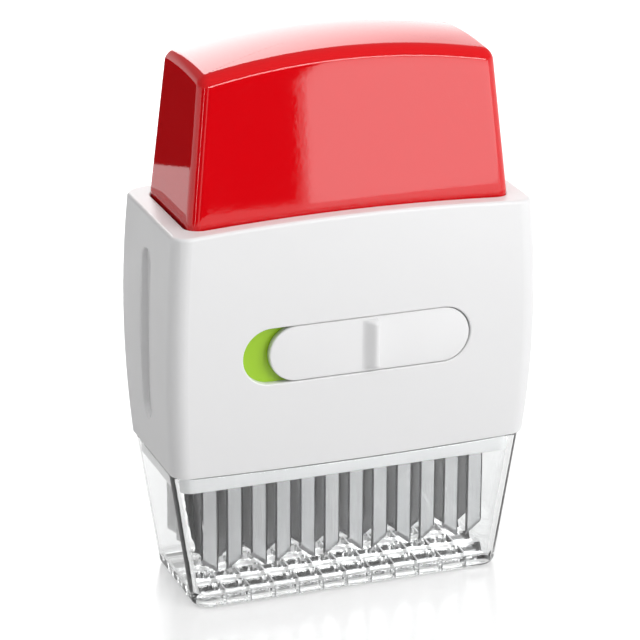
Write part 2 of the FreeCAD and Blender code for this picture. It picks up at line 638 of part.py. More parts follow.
def buildNeck():
    # band inside the guard's top, deck with the column's opening and the posts' sockets
    body = newBody("neck_frame")
    ring = sketchOn(body, "Ring", "XY_Plane", "sizes.neckFoot")
    roundedRectangle(ring, NECK_X, NECK_Y, "sizes.plateCorner")
    pad(body, ring, "sizes.deckTop - sizes.neckFoot")
    inside = sketchOn(body, "Inside", "XY_Plane", f"sizes.neckFoot - {OVERRUN}")
    roundedRectangle(inside, f"{NECK_X} - sizes.neckWall", f"{NECK_Y} - sizes.neckWall",
                     "sizes.plateCorner - sizes.neckWall")
    pocket(body, inside, f"sizes.deckTop - sizes.deckThick - sizes.neckFoot + {OVERRUN}", reverse=True)
    opening = sketchOn(body, "Opening", "XY_Plane", f"sizes.neckFoot - {OVERRUN}")
    roundedRectangle(opening, "sizes.columnHalfX + sizes.slideFit", "sizes.columnHalfY + sizes.slideFit",
                     "sizes.columnCorner + sizes.slideFit")
    pocket(body, opening, f"sizes.deckTop - sizes.neckFoot + 2 * {OVERRUN}", reverse=True)
    sockets = sketchOn(body, "Sockets", "XY_Plane", "sizes.deckTop - sizes.socketDepth")
    for side in ("-", ""):
        circle(sockets, "sizes.postRadius + sizes.postPress", f"{side}{POST_X}")
    pocket(body, sockets, f"sizes.socketDepth + {OVERRUN}", reverse=True)
    foot = number("sizes.neckFoot") + TINY
    wall = number("sizes.neckWall / 2")
    roundEdges(body, "NeckRound", "sizes.neckRound",
               lambda edge: edge.BoundBox.ZMax < foot and isOutside(edge, NECK_X, NECK_Y, wall))
    return body


def buildClamp():
    body = newBody("blade_clamp")
    plate = sketchOn(body, "Plate", "XY_Plane", COMB_TOP)
    roundedRectangle(plate, CARRIAGE_X, CARRIAGE_Y, "sizes.carriageCorner")
    pad(body, plate, CLAMP_THICK)
    grooves = sketchOn(body, "HeadGroove", "XY_Plane", f"{COMB_TOP} - {OVERRUN}")
    rectangle(grooves, f"{CARRIAGE_X} - sizes.headMargin + sizes.bladeFit",
              "sizes.bladeThick / 2 + sizes.bladeFit", "0", FIRST_Y)
    cut = pocket(body, grooves, f"{OVERRUN} + sizes.headHeight + sizes.bladeFit", reverse=True)
    rows = body.newObject("PartDesign::LinearPattern", "GrooveRows")
    rows.Originals = [cut]
    rows.Direction = (grooves, ["V_Axis"])
    rows.setExpression("Length", "(sizes.bladeRows - 1) * sizes.rowPitch")
    rows.setExpression("Occurrences", "sizes.bladeRows")
    body.Tip = rows
    doc.recompute()
    holes = sketchOn(body, "ClampHoles", "XY_Plane", f"{COMB_TOP} - {OVERRUN}")
    for side in ("-", ""):
        circle(holes, SCREW_BORE, f"{side}sizes.columnScrewX")
        circle(holes, SCREW_BORE, f"{side}{COMB_SCREW_X}")
    pocket(body, holes, f"{CLAMP_THICK} + 2 * {OVERRUN}", reverse=True)
    return body


def buildComb():
    body = newBody("blade_comb")
    plate = sketchOn(body, "Plate", "XY_Plane", "sizes.carriageFoot")
    roundedRectangle(plate, CARRIAGE_X, CARRIAGE_Y, "sizes.carriageCorner")
    pad(body, plate, "sizes.combThick")
    slot = sketchOn(body, "BladeSlot", "XY_Plane", f"sizes.carriageFoot - {OVERRUN}")
    rectangle(slot, "sizes.bladeHalfWidth + sizes.bladeFit", "sizes.bladeThick / 2 + sizes.bladeFit",
              FIRST_X, FIRST_Y)
    cut = pocket(body, slot, f"sizes.combThick + 2 * {OVERRUN}", reverse=True)
    gridPattern(body, slot, [cut])
    holes = sketchOn(body, "CombHoles", "XY_Plane", f"sizes.carriageFoot - {OVERRUN}")
    heads = sketchOn(body, "HeadSeats", "XY_Plane", f"sizes.carriageFoot - {OVERRUN}")
    for side in ("-", ""):
        for place in ("sizes.columnScrewX", COMB_SCREW_X):
            circle(holes, SCREW_BORE, f"{side}{place}")
            circle(heads, "sizes.screwHead + sizes.boreFit", f"{side}{place}")
    pocket(body, holes, f"sizes.combThick + 2 * {OVERRUN}", reverse=True)
    pocket(body, heads, f"sizes.screwHeadThick + {OVERRUN}", reverse=True)
    return body


def gridPattern(body, sketch, originals):
    # repeats a cut at every blade of every row
    grid = body.newObject("PartDesign::LinearPattern", f"Grid{sketch.Name}")
    grid.Originals = originals
    grid.Direction = (sketch, ["H_Axis"])
    grid.setExpression("Length", f"(sizes.bladesPerRow - 1) * {PITCH}")
    grid.setExpression("Occurrences", "sizes.bladesPerRow")
    grid.Direction2 = (sketch, ["V_Axis"])
    grid.setExpression("Length2", "(sizes.bladeRows - 1) * sizes.rowPitch")
    grid.setExpression("Occurrences2", "sizes.bladeRows")
    body.Tip = grid
    doc.recompute()
    return grid


def buildGuard():
    body = newBody("blade_guard")
    outer = []
    inner = []
    topLevel = f"sizes.guardHeight + {OVERRUN}"
    spread = f"(1 + {OVERRUN} / sizes.guardHeight)"
    topHalfX = f"(sizes.guardFootHalfX + (sizes.guardTopHalfX - sizes.guardFootHalfX) * {spread})"
    topHalfY = f"(sizes.guardFootHalfY + (sizes.guardTopHalfY - sizes.guardFootHalfY) * {spread})"
    for name, level, halfX, halfY in (
        ("Foot", "0", "sizes.guardFootHalfX", "sizes.guardFootHalfY"),
        ("Top", topLevel, topHalfX, topHalfY),
    ):
        sketch = sketchOn(body, f"Guard{name}", "XY_Plane", level)
        roundedRectangle(sketch, halfX, halfY, "sizes.guardCorner")
        outer.append(sketch)
    loft(body, "AdditiveLoft", outer)
    lift = "sizes.guardPlate / sizes.guardHeight"
    footHalfX = f"(sizes.guardFootHalfX + (sizes.guardTopHalfX - sizes.guardFootHalfX) * {lift})"
    footHalfY = f"(sizes.guardFootHalfY + (sizes.guardTopHalfY - sizes.guardFootHalfY) * {lift})"
    for name, level, halfX, halfY in (
        ("Floor", "sizes.guardPlate", footHalfX, footHalfY),
        ("Mouth", topLevel, topHalfX, topHalfY),
    ):
        sketch = sketchOn(body, f"Guard{name}", "XY_Plane", level)
        roundedRectangle(sketch, f"{halfX} - sizes.guardWall", f"{halfY} - sizes.guardWall",
                         "sizes.guardCorner - sizes.guardWall")
        inner.append(sketch)
    loft(body, "SubtractiveLoft", inner)
    roundEdges(body, "GuardFootRound", "sizes.guardFootRound", lambda edge: edge.BoundBox.ZMax < TINY)

    # one slot with its funnel, repeated under every blade
    slot = sketchOn(body, "Slot", "XY_Plane", f"-{OVERRUN}")
    rectangle(slot, "sizes.slotHalfX", "sizes.slotHalfY", FIRST_X, FIRST_Y)
    slotCut = pocket(body, slot, f"sizes.guardPlate + 2 * {OVERRUN}", reverse=True)
    narrow = sketchOn(body, "FunnelFoot", "XY_Plane", "sizes.guardPlate - sizes.slotFunnel")
    rectangle(narrow, "sizes.slotHalfX", "sizes.slotHalfY", FIRST_X, FIRST_Y)
    wide = sketchOn(body, "FunnelMouth", "XY_Plane", "sizes.guardPlate")
    # the funnels of neighbours in a row stay apart by a thin wall
    rectangle(wide, f"({PITCH} - sizes.funnelWall) / 2", "sizes.slotHalfY + sizes.funnelSlope",
              FIRST_X, FIRST_Y)
    funnel = loft(body, "SubtractiveLoft", [narrow, wide])
    gridPattern(body, slot, [slotCut, funnel])

    bowedCut(body, "GuardEdge", "sizes.guardHeight", "-sizes.hemSag", True)
    edgeLevel = number("sizes.guardHeight - sizes.hemSag") - TINY
    roundEdges(body, "GuardTopRound", "sizes.guardTopRound",
               lambda edge: edge.BoundBox.ZMin > edgeLevel and not isUpright(edge))
    return body


def buildSlider():
    body = newBody("lock_slider")
    centre = "sizes.lockTravel / 2"
    backFace = f"({RECESS_FLOOR} + sizes.sliderGap)"
    plate = sketchOn(body, "Plate", "XZ_Plane", backFace)
    stadium(plate, "sizes.recessHalfX - sizes.sliderGap - sizes.lockTravel / 2",
            "sizes.recessHalfZ - sizes.sliderGap", centre, "sizes.recessLevel")
    pad(body, plate, "sizes.sliderPlate")
    rib = sketchOn(body, "GripRib", "XZ_Plane", f"{backFace} + sizes.sliderPlate / 2")
    roundedRectangle(rib, "sizes.ribHalfWidth", "sizes.recessHalfZ - 2 * sizes.sliderGap", "sizes.ribCorner",
                     centre, "sizes.recessLevel")
    pad(body, rib, "sizes.sliderPlate / 2 + sizes.ribHeight")
    stud = sketchOn(body, "Stud", "XZ_Plane", BOLT_FRONT)
    rectangle(stud, "sizes.tongueHalf", "sizes.tongueHalf", centre, STUD_LEVEL)
    pad(body, stud, "sizes.recessFloorWall + sizes.slideFit + sizes.sliderGap")
    pilot = sketchOn(body, "Pilot", "XZ_Plane", f"{BOLT_FRONT} - {OVERRUN}")
    circle(pilot, "sizes.lockScrewRadius + sizes.boreFit", centre, STUD_LEVEL)
    pocket(body, pilot, f"{backFace} - {BOLT_FRONT} + {OVERRUN}", reverse=True)

    ribFront = -number(f"{backFace} + sizes.sliderPlate + sizes.ribHeight") + TINY
    roundEdges(body, "RibRound", "sizes.ribRound", lambda edge: edge.BoundBox.YMax < ribFront)
    plateFront = -number(f"{backFace} + sizes.sliderPlate")
    ribHalf = number("sizes.ribHalfWidth + sizes.sliderGap")
    ribX = number(centre)

    def isPlateEdge(edge):
        flat = abs(edge.BoundBox.YMin - plateFront) < TINY and abs(edge.BoundBox.YMax - plateFront) < TINY
        return flat and abs(middleOf(edge).x - ribX) > ribHalf

    roundEdges(body, "SliderRound", "sizes.sliderRound", isPlateEdge)
    return body


def buildBolt():
    body = newBody("lock_bolt")
    centre = "sizes.lockTravel / 2"
    flange = sketchOn(body, "BoltFlange", "XZ_Plane", f"{BOLT_FRONT} - sizes.boltFlangeThick")
    roundedRectangle(flange, "sizes.boltFlangeHalf", "sizes.boltFlangeHalf", "sizes.ribCorner",
                     centre, STUD_LEVEL)
    pad(body, flange, "sizes.boltFlangeThick")
    tongue = sketchOn(body, "Tongue", "XZ_Plane", TONGUE_TIP)
    rectangle(tongue, "sizes.tongueHalf", "sizes.tongueHalf", centre, STUD_LEVEL)
    pad(body, tongue, f"{BOLT_FRONT} - {TONGUE_TIP}")
    pilot = sketchOn(body, "BoltHole", "XZ_Plane", f"{TONGUE_TIP} - {OVERRUN}")
    circle(pilot, "sizes.lockScrewRadius + sizes.boreFit", centre, STUD_LEVEL)
    pocket(body, pilot, f"{BOLT_FRONT} - {TONGUE_TIP} + 2 * {OVERRUN}", reverse=True)
    seat = sketchOn(body, "BoltSeat", "XZ_Plane", f"{TONGUE_TIP} - {OVERRUN}")
    circle(seat, "sizes.lockScrewHead + sizes.boreFit", centre, STUD_LEVEL)
    pocket(body, seat, f"sizes.screwHeadThick + {OVERRUN}", reverse=True)
    return body


def addFeature(label, shape):
    feature = doc.addObject("Part::Feature", label)
    feature.Label = label
    feature.Shape = shape
    feature.Placement = Placement()
    subParts.append(feature)
    return feature


def buildBladeRows():
    # each row is a set of separate stamped blades, so its node holds one solid per blade
    count = int(number("sizes.bladesPerRow"))
    half = number("sizes.bladeHalfWidth")
    headHalf = number("sizes.headHalfWidth")
    thick = number("sizes.bladeThick")
    seat = number(COMB_TOP)
    top = seat + number("sizes.headHeight")
    low = number("sizes.tipLevel")
    high = low + number("sizes.tipSlant")
    rows = int(number("sizes.bladeRows"))
    for row in range(rows):
        y = (row - (rows - 1) / 2) * number("sizes.rowPitch")
        blades = []
        for place in range(count):
            x = (place - (count - 1) / 2) * number(PITCH)
            leftTip = high if place % 2 == 0 else low
            rightTip = low if place % 2 == 0 else high
            corners = [
                (x - half, leftTip), (x + half, rightTip), (x + half, seat), (x + headHalf, seat),
                (x + headHalf, top), (x - headHalf, top), (x - headHalf, seat), (x - half, seat),
            ]
            points = [Vector(cornerX, y - thick / 2, cornerZ) for cornerX, cornerZ in corners]
            face = Part.Face(Part.makePolygon(points + points[:1]))
            blades.append(face.extrude(Vector(0, thick, 0)))
        addFeature(f"blade_row_{row + 1}", Part.Compound(blades))


def coil(radius, wire, turns, low, high):
    # round wire wound at a steady pitch, each half turn as two arcs that share a tangent
    steps = int(turns * 4)
    rise = (high - low) / turns

    def place(angle):
        return Vector(radius * math.cos(angle), radius * math.sin(angle), low + rise * angle / (2 * math.pi))

    def heading(angle):
        run = Vector(-radius * math.sin(angle), radius * math.cos(angle), rise / (2 * math.pi))
        return run.normalize()

    edges = []
    for step in range(steps):
        start = step * math.pi / 2
        end = start + math.pi / 2
        firstPoint = place(start)
        lastPoint = place(end)
        chord = lastPoint - firstPoint
        sumHeading = heading(start) + heading(end)
        along = chord.dot(sumHeading)
        spare = 2 * (1 - heading(start).dot(heading(end)))
        reach = (-along + math.sqrt(along * along + spare * chord.dot(chord))) / spare
        middle = (firstPoint + lastPoint + (heading(start) - heading(end)) * reach) * 0.5
        edges.append(arcFrom(firstPoint, heading(start), middle))
        edges.append(arcFrom(lastPoint, heading(end) * -1, middle, backwards=True))
    path = Part.Wire(edges)
    section = Part.Wire(Part.makeCircle(wire / 2, place(0), heading(0)))
    tube = path.makePipeShell([section], True, False)
    return tube


def arcFrom(point, direction, target, backwards=False):
    # arc that leaves a point in a given direction and ends at a target
    chord = target - point
    normal = chord - direction * chord.dot(direction)
    normal.normalize()
    radius = chord.dot(chord) / (2 * chord.dot(normal))
    centre = point + normal * radius
    half = (point + target) * 0.5 - centre
    half.normalize()
    via = centre + half * radius
    if backwards:
        return Part.Edge(Part.Arc(target, via, point))
    return Part.Edge(Part.Arc(point, via, target))


def buildSprings():
    wire = number("sizes.springWire")
    low = number("sizes.deckTop") + wire / 2
    high = number(FLANGE_FOOT) - wire / 2
    turns = number("sizes.springTurns")
    pitch = (high - low) / turns
    print(f"spring pitch {pitch:.3f}, gap between turns {pitch - wire:.3f}")
    spring = coil(number("sizes.springRadius"), wire, turns, low, high)
    for side, name in ((-1, "left"), (1, "right")):
        feature = addFeature(f"return_spring_{name}", spring)
        feature.Placement = Placement(Vector(side * number(POST_X), 0, 0), Rotation())


def buildPosts():
    for side, name in (("-", "left"), ("", "right")):
        post = doc.addObject("Part::Cylinder", f"guide_post_{name}")
        post.Label = f"guide_post_{name}"
        post.setExpression("Radius", "sizes.postRadius")
        post.setExpression("Height", "sizes.postTop - sizes.deckTop + sizes.socketDepth")
        post.setExpression("Placement.Base.x", f"{side}{POST_X}")
        post.setExpression("Placement.Base.z", "sizes.deckTop - sizes.socketDepth")
        subParts.append(post)


def screw(length, headRadius, shankRadius, headThick):
    # head below, shank upwards
    head = Part.makeCylinder(headRadius, headThick)
    shank = Part.makeCylinder(shankRadius, length, Vector(0, 0, headThick))
    return head.fuse(shank).removeSplitter()


def screwPair(label, x, headLevel, length):
    solids = []
    for side in (-1, 1):
        solid = screw(length, number("sizes.screwHead"), number("sizes.screwRadius"),
                      number("sizes.screwHeadThick"))
        solid.translate(Vector(side * x, 0, headLevel))
        solids.append(solid)
    addFeature(label, Part.Compound(solids))


def buildScrews():
    headThick = number("sizes.screwHeadThick")
    screwPair("cap_screws", number("sizes.bossX"), number(FLANGE_FOOT) - headThick,
              number("sizes.flangeThick + sizes.screwGrip"))
    foot = number("sizes.carriageFoot")
    reach = number(f"{CLAMP_TOP} - sizes.screwSpare - sizes.screwHeadThick") - foot
    screwPair("column_screws", number("sizes.columnScrewX"), foot, reach + number("sizes.columnFoot"))
    screwPair("comb_screws", number(COMB_SCREW_X), foot, reach)

    tip = number(TONGUE_TIP)
    length = number(f"{RECESS_FLOOR} + sizes.sliderGap - sizes.screwSpare - {TONGUE_TIP}") - headThick
    solid = screw(length, number("sizes.lockScrewHead"), number("sizes.lockScrewRadius"), headThick)
    feature = addFeature("lock_screw", solid)
    # the head sits at the tongue's tip and the shank runs forwards
    feature.Placement = Placement(Vector(number("sizes.lockTravel / 2"), -tip, number(STUD_LEVEL)),
                                  Rotation(Vector(1, 0, 0), 90))


def writeParts():
    doc.recompute()
    for item in doc.Objects:
        if "Invalid" in item.State or "Error" in item.State:
            raise RuntimeError(f"{item.Name}: {item.State}")
    os.makedirs("parts", exist_ok=True)
    for part in subParts:
        shape = part.Shape
        if shape.isNull() or not shape.isValid():
            raise RuntimeError(f"{part.Label} has no valid shape")
        box = shape.BoundBox
        print(f"{part.Label}: {len(shape.Solids)} solid(s), {shape.Volume:.1f} mm3, "
              f"{box.XLength:.2f} x {box.YLength:.2f} x {box.ZLength:.2f}, foot at {box.ZMin:.2f}")
        shape.exportStep(f"parts/{part.Label}.step")


buildHousing()
buildIndicator()
buildCap()
buildCore()
buildNeck()
buildClamp()
buildComb()
buildGuard()
buildSlider()
buildBolt()
buildBladeRows()
buildSprings()
buildPosts()
buildScrews()
writeParts()
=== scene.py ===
import bpy
import math
from mathutils import Matrix, Vector


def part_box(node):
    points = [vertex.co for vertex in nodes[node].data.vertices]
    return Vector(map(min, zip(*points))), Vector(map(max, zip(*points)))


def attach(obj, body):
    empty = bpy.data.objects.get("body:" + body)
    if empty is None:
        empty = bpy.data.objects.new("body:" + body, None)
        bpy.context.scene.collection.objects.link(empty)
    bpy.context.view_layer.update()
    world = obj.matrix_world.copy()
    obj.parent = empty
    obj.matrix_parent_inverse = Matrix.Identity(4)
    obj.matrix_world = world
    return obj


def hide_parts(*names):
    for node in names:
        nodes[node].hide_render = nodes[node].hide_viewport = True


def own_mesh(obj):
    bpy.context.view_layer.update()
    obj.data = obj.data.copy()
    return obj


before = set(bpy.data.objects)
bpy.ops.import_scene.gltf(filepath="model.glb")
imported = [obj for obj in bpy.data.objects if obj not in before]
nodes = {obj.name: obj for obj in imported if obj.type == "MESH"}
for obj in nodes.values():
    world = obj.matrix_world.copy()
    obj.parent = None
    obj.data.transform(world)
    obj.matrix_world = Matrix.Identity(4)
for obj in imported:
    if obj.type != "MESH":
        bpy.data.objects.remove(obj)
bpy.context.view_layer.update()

# blade tenderizer: red push handle, white sleeve with its slide lock, steel blades in a clear guard
scene = bpy.context.scene
print("frame loaded,", len(nodes), "nodes")

camera = {
    "azimuth": -20.3,      # degrees, to the left of the front
    "elevation": 20.6,
    "roll": 0.2,
    "distance": 0.852,
    "lookX": -0.00224,     # the point that it looks at, in the plane Y = 0
    "lookZ": 0.0706,
    "lens": 180.0,
    "sensor": 36.0,
    "nearClip": 0.01,
    "farClip": 20.0,
}


def placeCamera(spec):
    az = math.radians(spec["azimuth"])
    el = math.radians(spec["elevation"])
    roll = math.radians(spec["roll"])
    back = Vector((math.sin(az) * math.cos(el), -math.cos(az) * math.cos(el), math.sin(el)))
    right = Vector((math.cos(az), math.sin(az), 0))
    up = back.cross(right)
    turnedRight = right * math.cos(roll) + up * math.sin(roll)
    turnedUp = up * math.cos(roll) - right * math.sin(roll)
    eye = Vector((spec["lookX"], 0, spec["lookZ"])) + back * spec["distance"]
    data = bpy.data.cameras.new("photoCamera")
    data.lens = spec["lens"]
    data.sensor_width = spec["sensor"]
    data.clip_start = spec["nearClip"]
    data.clip_end = spec["farClip"]
    item = bpy.data.objects.new("photoCamera", data)
    axes = Matrix((turnedRight, turnedUp, back)).transposed().to_4x4()
    item.matrix_world = Matrix.Translation(eye) @ axes
    scene.collection.objects.link(item)
    scene.camera = item


placeCamera(camera)
print("camera placed")

# helpers that make and join shader nodes


def addNode(tree, kind, settings=None, inputs=None):
    item = tree.nodes.new(kind)
    for key, value in (settings or {}).items():
        setattr(item, key, value)
    for key, value in (inputs or {}).items():
        socket = item.inputs[key]
        if isinstance(value, bpy.types.NodeSocket):
            tree.links.new(value, socket)
        else:
            socket.default_value = value
    return item


def maths(tree, operation, first, second=0.5, clamp=False):
    settings = {"operation": operation, "use_clamp": clamp}
    return addNode(tree, "ShaderNodeMath", settings, {0: first, 1: second}).outputs[0]


def spread(tree, value, fromLow, fromHigh, toLow, toHigh):
    item = addNode(tree, "ShaderNodeMapRange", {"clamp": True}, {
        "Value": value, "From Min": fromLow, "From Max": fromHigh, "To Min": toLow, "To Max": toHigh})
    return item.outputs["Result"]


noiseLow, noiseHigh = 0.3, 0.7      # nearly all of a noise lies between these


def overNoise(tree, value, toLow, toHigh):
    return spread(tree, value, noiseLow, noiseHigh, toLow, toHigh)


def mixColour(tree, factor, first, second, blend="MIX"):
    settings = {"data_type": "RGBA", "blend_type": blend}
    return addNode(tree, "ShaderNodeMix", settings, {0: factor, 6: first, 7: second}).outputs[2]


def shaded(tree, tone, level):
    # a colour made darker by a level from 0 to 1
    inputs = {"Red": level, "Green": level, "Blue": level}
    grey = addNode(tree, "ShaderNodeCombineColor", inputs=inputs).outputs["Color"]
    return mixColour(tree, 1.0, tone, grey, "MULTIPLY")


def objectPlace(tree):
    return addNode(tree, "ShaderNodeTexCoord").outputs["Object"]


def axisOf(tree, vector, axis):
    return addNode(tree, "ShaderNodeSeparateXYZ", inputs={"Vector": vector}).outputs[axis]


def stretched(tree, scaleVector):
    inputs = {"Vector": objectPlace(tree), "Scale": scaleVector}
    return addNode(tree, "ShaderNodeMapping", inputs=inputs).outputs["Vector"]


def noise(tree, vector, scale, detail=2.0, roughness=0.5):
    item = addNode(tree, "ShaderNodeTexNoise", inputs={
        "Vector": vector, "Scale": scale, "Detail": detail, "Roughness": roughness})
    return item.outputs["Fac"]


def newGroup(name, inputs, outputs):
    group = bpy.data.node_groups.new(name, "ShaderNodeTree")
    for label, kind, value in inputs:
        socket = group.interface.new_socket(label, in_out="INPUT", socket_type=kind)
        socket.default_value = value
    for label, kind in outputs:
        group.interface.new_socket(label, in_out="OUTPUT", socket_type=kind)
    return group, group.nodes.new("NodeGroupInput"), group.nodes.new("NodeGroupOutput")


def useGroup(tree, group, values):
    return addNode(tree, "ShaderNodeGroup", {"node_tree": group}, values).outputs


number = "NodeSocketFloat"
colour = "NodeSocketColor"


def mouldedSkin():
    # moulded plastic: slow drift of tone, fine orange peel and uneven gloss
    patchScale, patchDetail, patchRoughness = 95.0, 4, 0.6
    broadScale, peelShare = 160.0, 0.5
    group, given, out = newGroup("mouldedSkin", [
        ("Tone", colour, (0.8, 0.8, 0.8, 1)), ("Drift", number, 0.03), ("Drift Scale", number, 22.0),
        ("Peel Scale", number, 700.0), ("Gloss Low", number, 0.3), ("Gloss High", number, 0.4),
    ], [("Tone", colour), ("Roughness", number), ("Height", number)])
    plain = stretched(group, (1, 1, 1))
    cloud = noise(group, plain, given.outputs["Drift Scale"], 3)
    level = overNoise(group, cloud, maths(group, "SUBTRACT", 1.0, given.outputs["Drift"]), 1.0)
    patch = noise(group, plain, patchScale, patchDetail, patchRoughness)
    gloss = overNoise(group, patch, given.outputs["Gloss Low"], given.outputs["Gloss High"])
    peel = maths(group, "MULTIPLY", noise(group, plain, given.outputs["Peel Scale"], 2), peelShare)
    broad = maths(group, "MULTIPLY", noise(group, plain, broadScale, 1), 1 - peelShare)
    group.links.new(shaded(group, given.outputs["Tone"], level), out.inputs["Tone"])
    group.links.new(gloss, out.inputs["Roughness"])
    group.links.new(maths(group, "ADD", peel, broad), out.inputs["Height"])
    return group


def fineScratches():
    # hairlines from handling, in two crossing sets, thin and sparse
    sets = ((0.5, 0.0), (-0.9, 3.7))        # tilt of each set, and its place in the noise
    twist = 0.2                             # share of the tilt that also turns a set about Z
    pull, fineness = (1.0, 1.0, 0.05), 900.0
    lineCore, lineEnd = 0.004, 0.02
    patchLow, patchHigh = 0.55, 0.70
    group, given, out = newGroup("fineScratches", [
        ("Density", number, 0.5), ("Patch Scale", number, 14.0),
    ], [("Mask", number)])
    masks = []
    for tilt, seed in sets:
        turned = addNode(group, "ShaderNodeMapping", inputs={
            "Vector": objectPlace(group), "Rotation": (0, tilt, twist * tilt),
            "Location": (seed, seed, seed)}).outputs["Vector"]
        pulled = addNode(group, "ShaderNodeVectorMath", {"operation": "MULTIPLY"}, {
            0: turned, 1: pull}).outputs["Vector"]
        away = maths(group, "ABSOLUTE", maths(group, "SUBTRACT", noise(group, pulled, fineness, 1), 0.5))
        line = spread(group, away, lineCore, lineEnd, 1.0, 0.0)
        patch = noise(group, turned, given.outputs["Patch Scale"], 2)
        gate = spread(group, patch, patchLow, patchHigh, 0.0, given.outputs["Density"])
        masks.append(maths(group, "MULTIPLY", line, gate))
    group.links.new(maths(group, "MAXIMUM", masks[0], masks[1], True), out.inputs["Mask"])
    return group


def dustAndHollowShade():
    # a trace of dust where surfaces look up, and painted shade where they sit close together
    shut, clear, aoSamples = 0.25, 0.85, 4      # openness at which a hollow has full painted shade, and none
    slopeStart, lyingShare = 0.5, 0.35          # upward faces take this share, from this slope on
    speckScale, speckDetail, speckRoughness = 260.0, 4, 0.7
    speckLow, speckHigh, speckLeast = 0.4, 0.7, 0.2
    group, given, out = newGroup("dustAndHollowShade", [
        ("Amount", number, 0.1), ("Reach", number, 0.003),
    ], [("Mask", number)])
    hollow = addNode(group, "ShaderNodeAmbientOcclusion", {"samples": aoSamples}, {
        "Distance": given.outputs["Reach"]})
    # hollows and close gaps darken: painted shade
    hollowShade = spread(group, hollow.outputs["AO"], shut, clear, 1.0, 0.0)
    upward = axisOf(group, addNode(group, "ShaderNodeNewGeometry").outputs["Normal"], "Z")
    lying = spread(group, upward, slopeStart, 1.0, 0.0, lyingShare)
    grain = noise(group, stretched(group, (1, 1, 1)), speckScale, speckDetail, speckRoughness)
    speck = spread(group, grain, speckLow, speckHigh, speckLeast, 1.0)
    total = maths(group, "MULTIPLY", maths(group, "ADD", hollowShade, lying, True), speck)
    group.links.new(maths(group, "MULTIPLY", total, given.outputs["Amount"], True), out.inputs["Mask"])
    return group


def drawnSteel():
    # steel with the long fine streaks of rolling or drawing, and faint cloudy stains
    streakDetail, streakRoughness, streakShade = 4, 0.65, 0.82
    stainScale, stainLow, stainHigh, stainShade = 130.0, 0.35, 0.7, -0.06
    group, given, out = newGroup("drawnSteel", [
        ("Tone", colour, (0.6, 0.6, 0.6, 1)), ("Across", number, 2600.0), ("Along", number, 22.0),
        ("Gloss Low", number, 0.14), ("Gloss High", number, 0.3),
    ], [("Tone", colour), ("Roughness", number), ("Height", number)])
    place = objectPlace(group)
    pull = addNode(group, "ShaderNodeCombineXYZ", inputs={
        "X": given.outputs["Across"], "Y": given.outputs["Across"],
        "Z": given.outputs["Along"]}).outputs["Vector"]
    pulled = addNode(group, "ShaderNodeVectorMath", {"operation": "MULTIPLY"}, {
        0: place, 1: pull}).outputs["Vector"]
    streak = noise(group, pulled, 1.0, streakDetail, streakRoughness)
    stain = spread(group, noise(group, place, stainScale, 3), stainLow, stainHigh, stainShade, 0.0)
    shade = maths(group, "ADD", overNoise(group, streak, streakShade, 1.0), stain)
    gloss = overNoise(group, streak, given.outputs["Gloss Low"], given.outputs["Gloss High"])
    group.links.new(shaded(group, given.outputs["Tone"], shade), out.inputs["Tone"])
    group.links.new(gloss, out.inputs["Roughness"])
    group.links.new(streak, out.inputs["Height"])
    return group


skinGroup = mouldedSkin()
scratchGroup = fineScratches()
dustAndShadeGroup = dustAndHollowShade()
steelGroup = drawnSteel()
print("shader groups ready")


def newMaterial(name):
    material = bpy.data.materials.new(name)
    material.use_nodes = True
    tree = material.node_tree
    shader = tree.nodes["Principled BSDF"]
    return material, tree, shader


def addBump(tree, shader, height, spec):
    bump = addNode(tree, "ShaderNodeBump", inputs={
        "Height": height, "Strength": spec["bump"], "Distance": spec["bumpDepth"]})
    tree.links.new(bump.outputs["Normal"], shader.inputs["Normal"])


def scratchMask(tree, spec):
    return useGroup(tree, scratchGroup, {
        "Density": spec["scratches"], "Patch Scale": spec["scratchPatch"]})["Mask"]


def scaledSum(tree, base, mask, share, clamp=False):
    return maths(tree, "ADD", base, maths(tree, "MULTIPLY", mask, share), clamp)


def plastic(name, spec):
    # one moulded plastic: skin, hairline scratches, dust on upward faces and painted shade in hollows, each
    # with the material's own values
    material, tree, shader = newMaterial(name)
    skin = useGroup(tree, skinGroup, {
        "Tone": (*spec["tone"], 1), "Drift": spec["drift"], "Drift Scale": spec["driftScale"],
        "Peel Scale": spec["peelScale"], "Gloss Low": spec["gloss"][0], "Gloss High": spec["gloss"][1]})
    scratch = scratchMask(tree, spec)
    dustAndShade = useGroup(tree, dustAndShadeGroup, {"Amount": spec["dustAndShade"], "Reach": spec["hollowShadeReach"]})["Mask"]
    scuff = maths(tree, "MULTIPLY", scratch, spec["scuffShare"])
    tone = mixColour(tree, scuff, skin["Tone"], (*spec["scuffTone"], 1))
    # this tone is dust on upward faces and painted shade in hollows and gaps
    tone = mixColour(tree, dustAndShade, tone, (*spec["dustAndShadeTone"], 1))
    rough = scaledSum(tree, skin["Roughness"], scratch, spec["scuffRough"])
    rough = scaledSum(tree, rough, dustAndShade, spec["dustAndShadeRough"], True)
    height = maths(tree, "SUBTRACT", skin["Height"], maths(tree, "MULTIPLY", scratch, spec["scratchDepth"]))
    tree.links.new(tone, shader.inputs["Base Color"])
    tree.links.new(rough, shader.inputs["Roughness"])
    addBump(tree, shader, height, spec)
    shader.inputs["IOR"].default_value = spec["ior"]
    return material


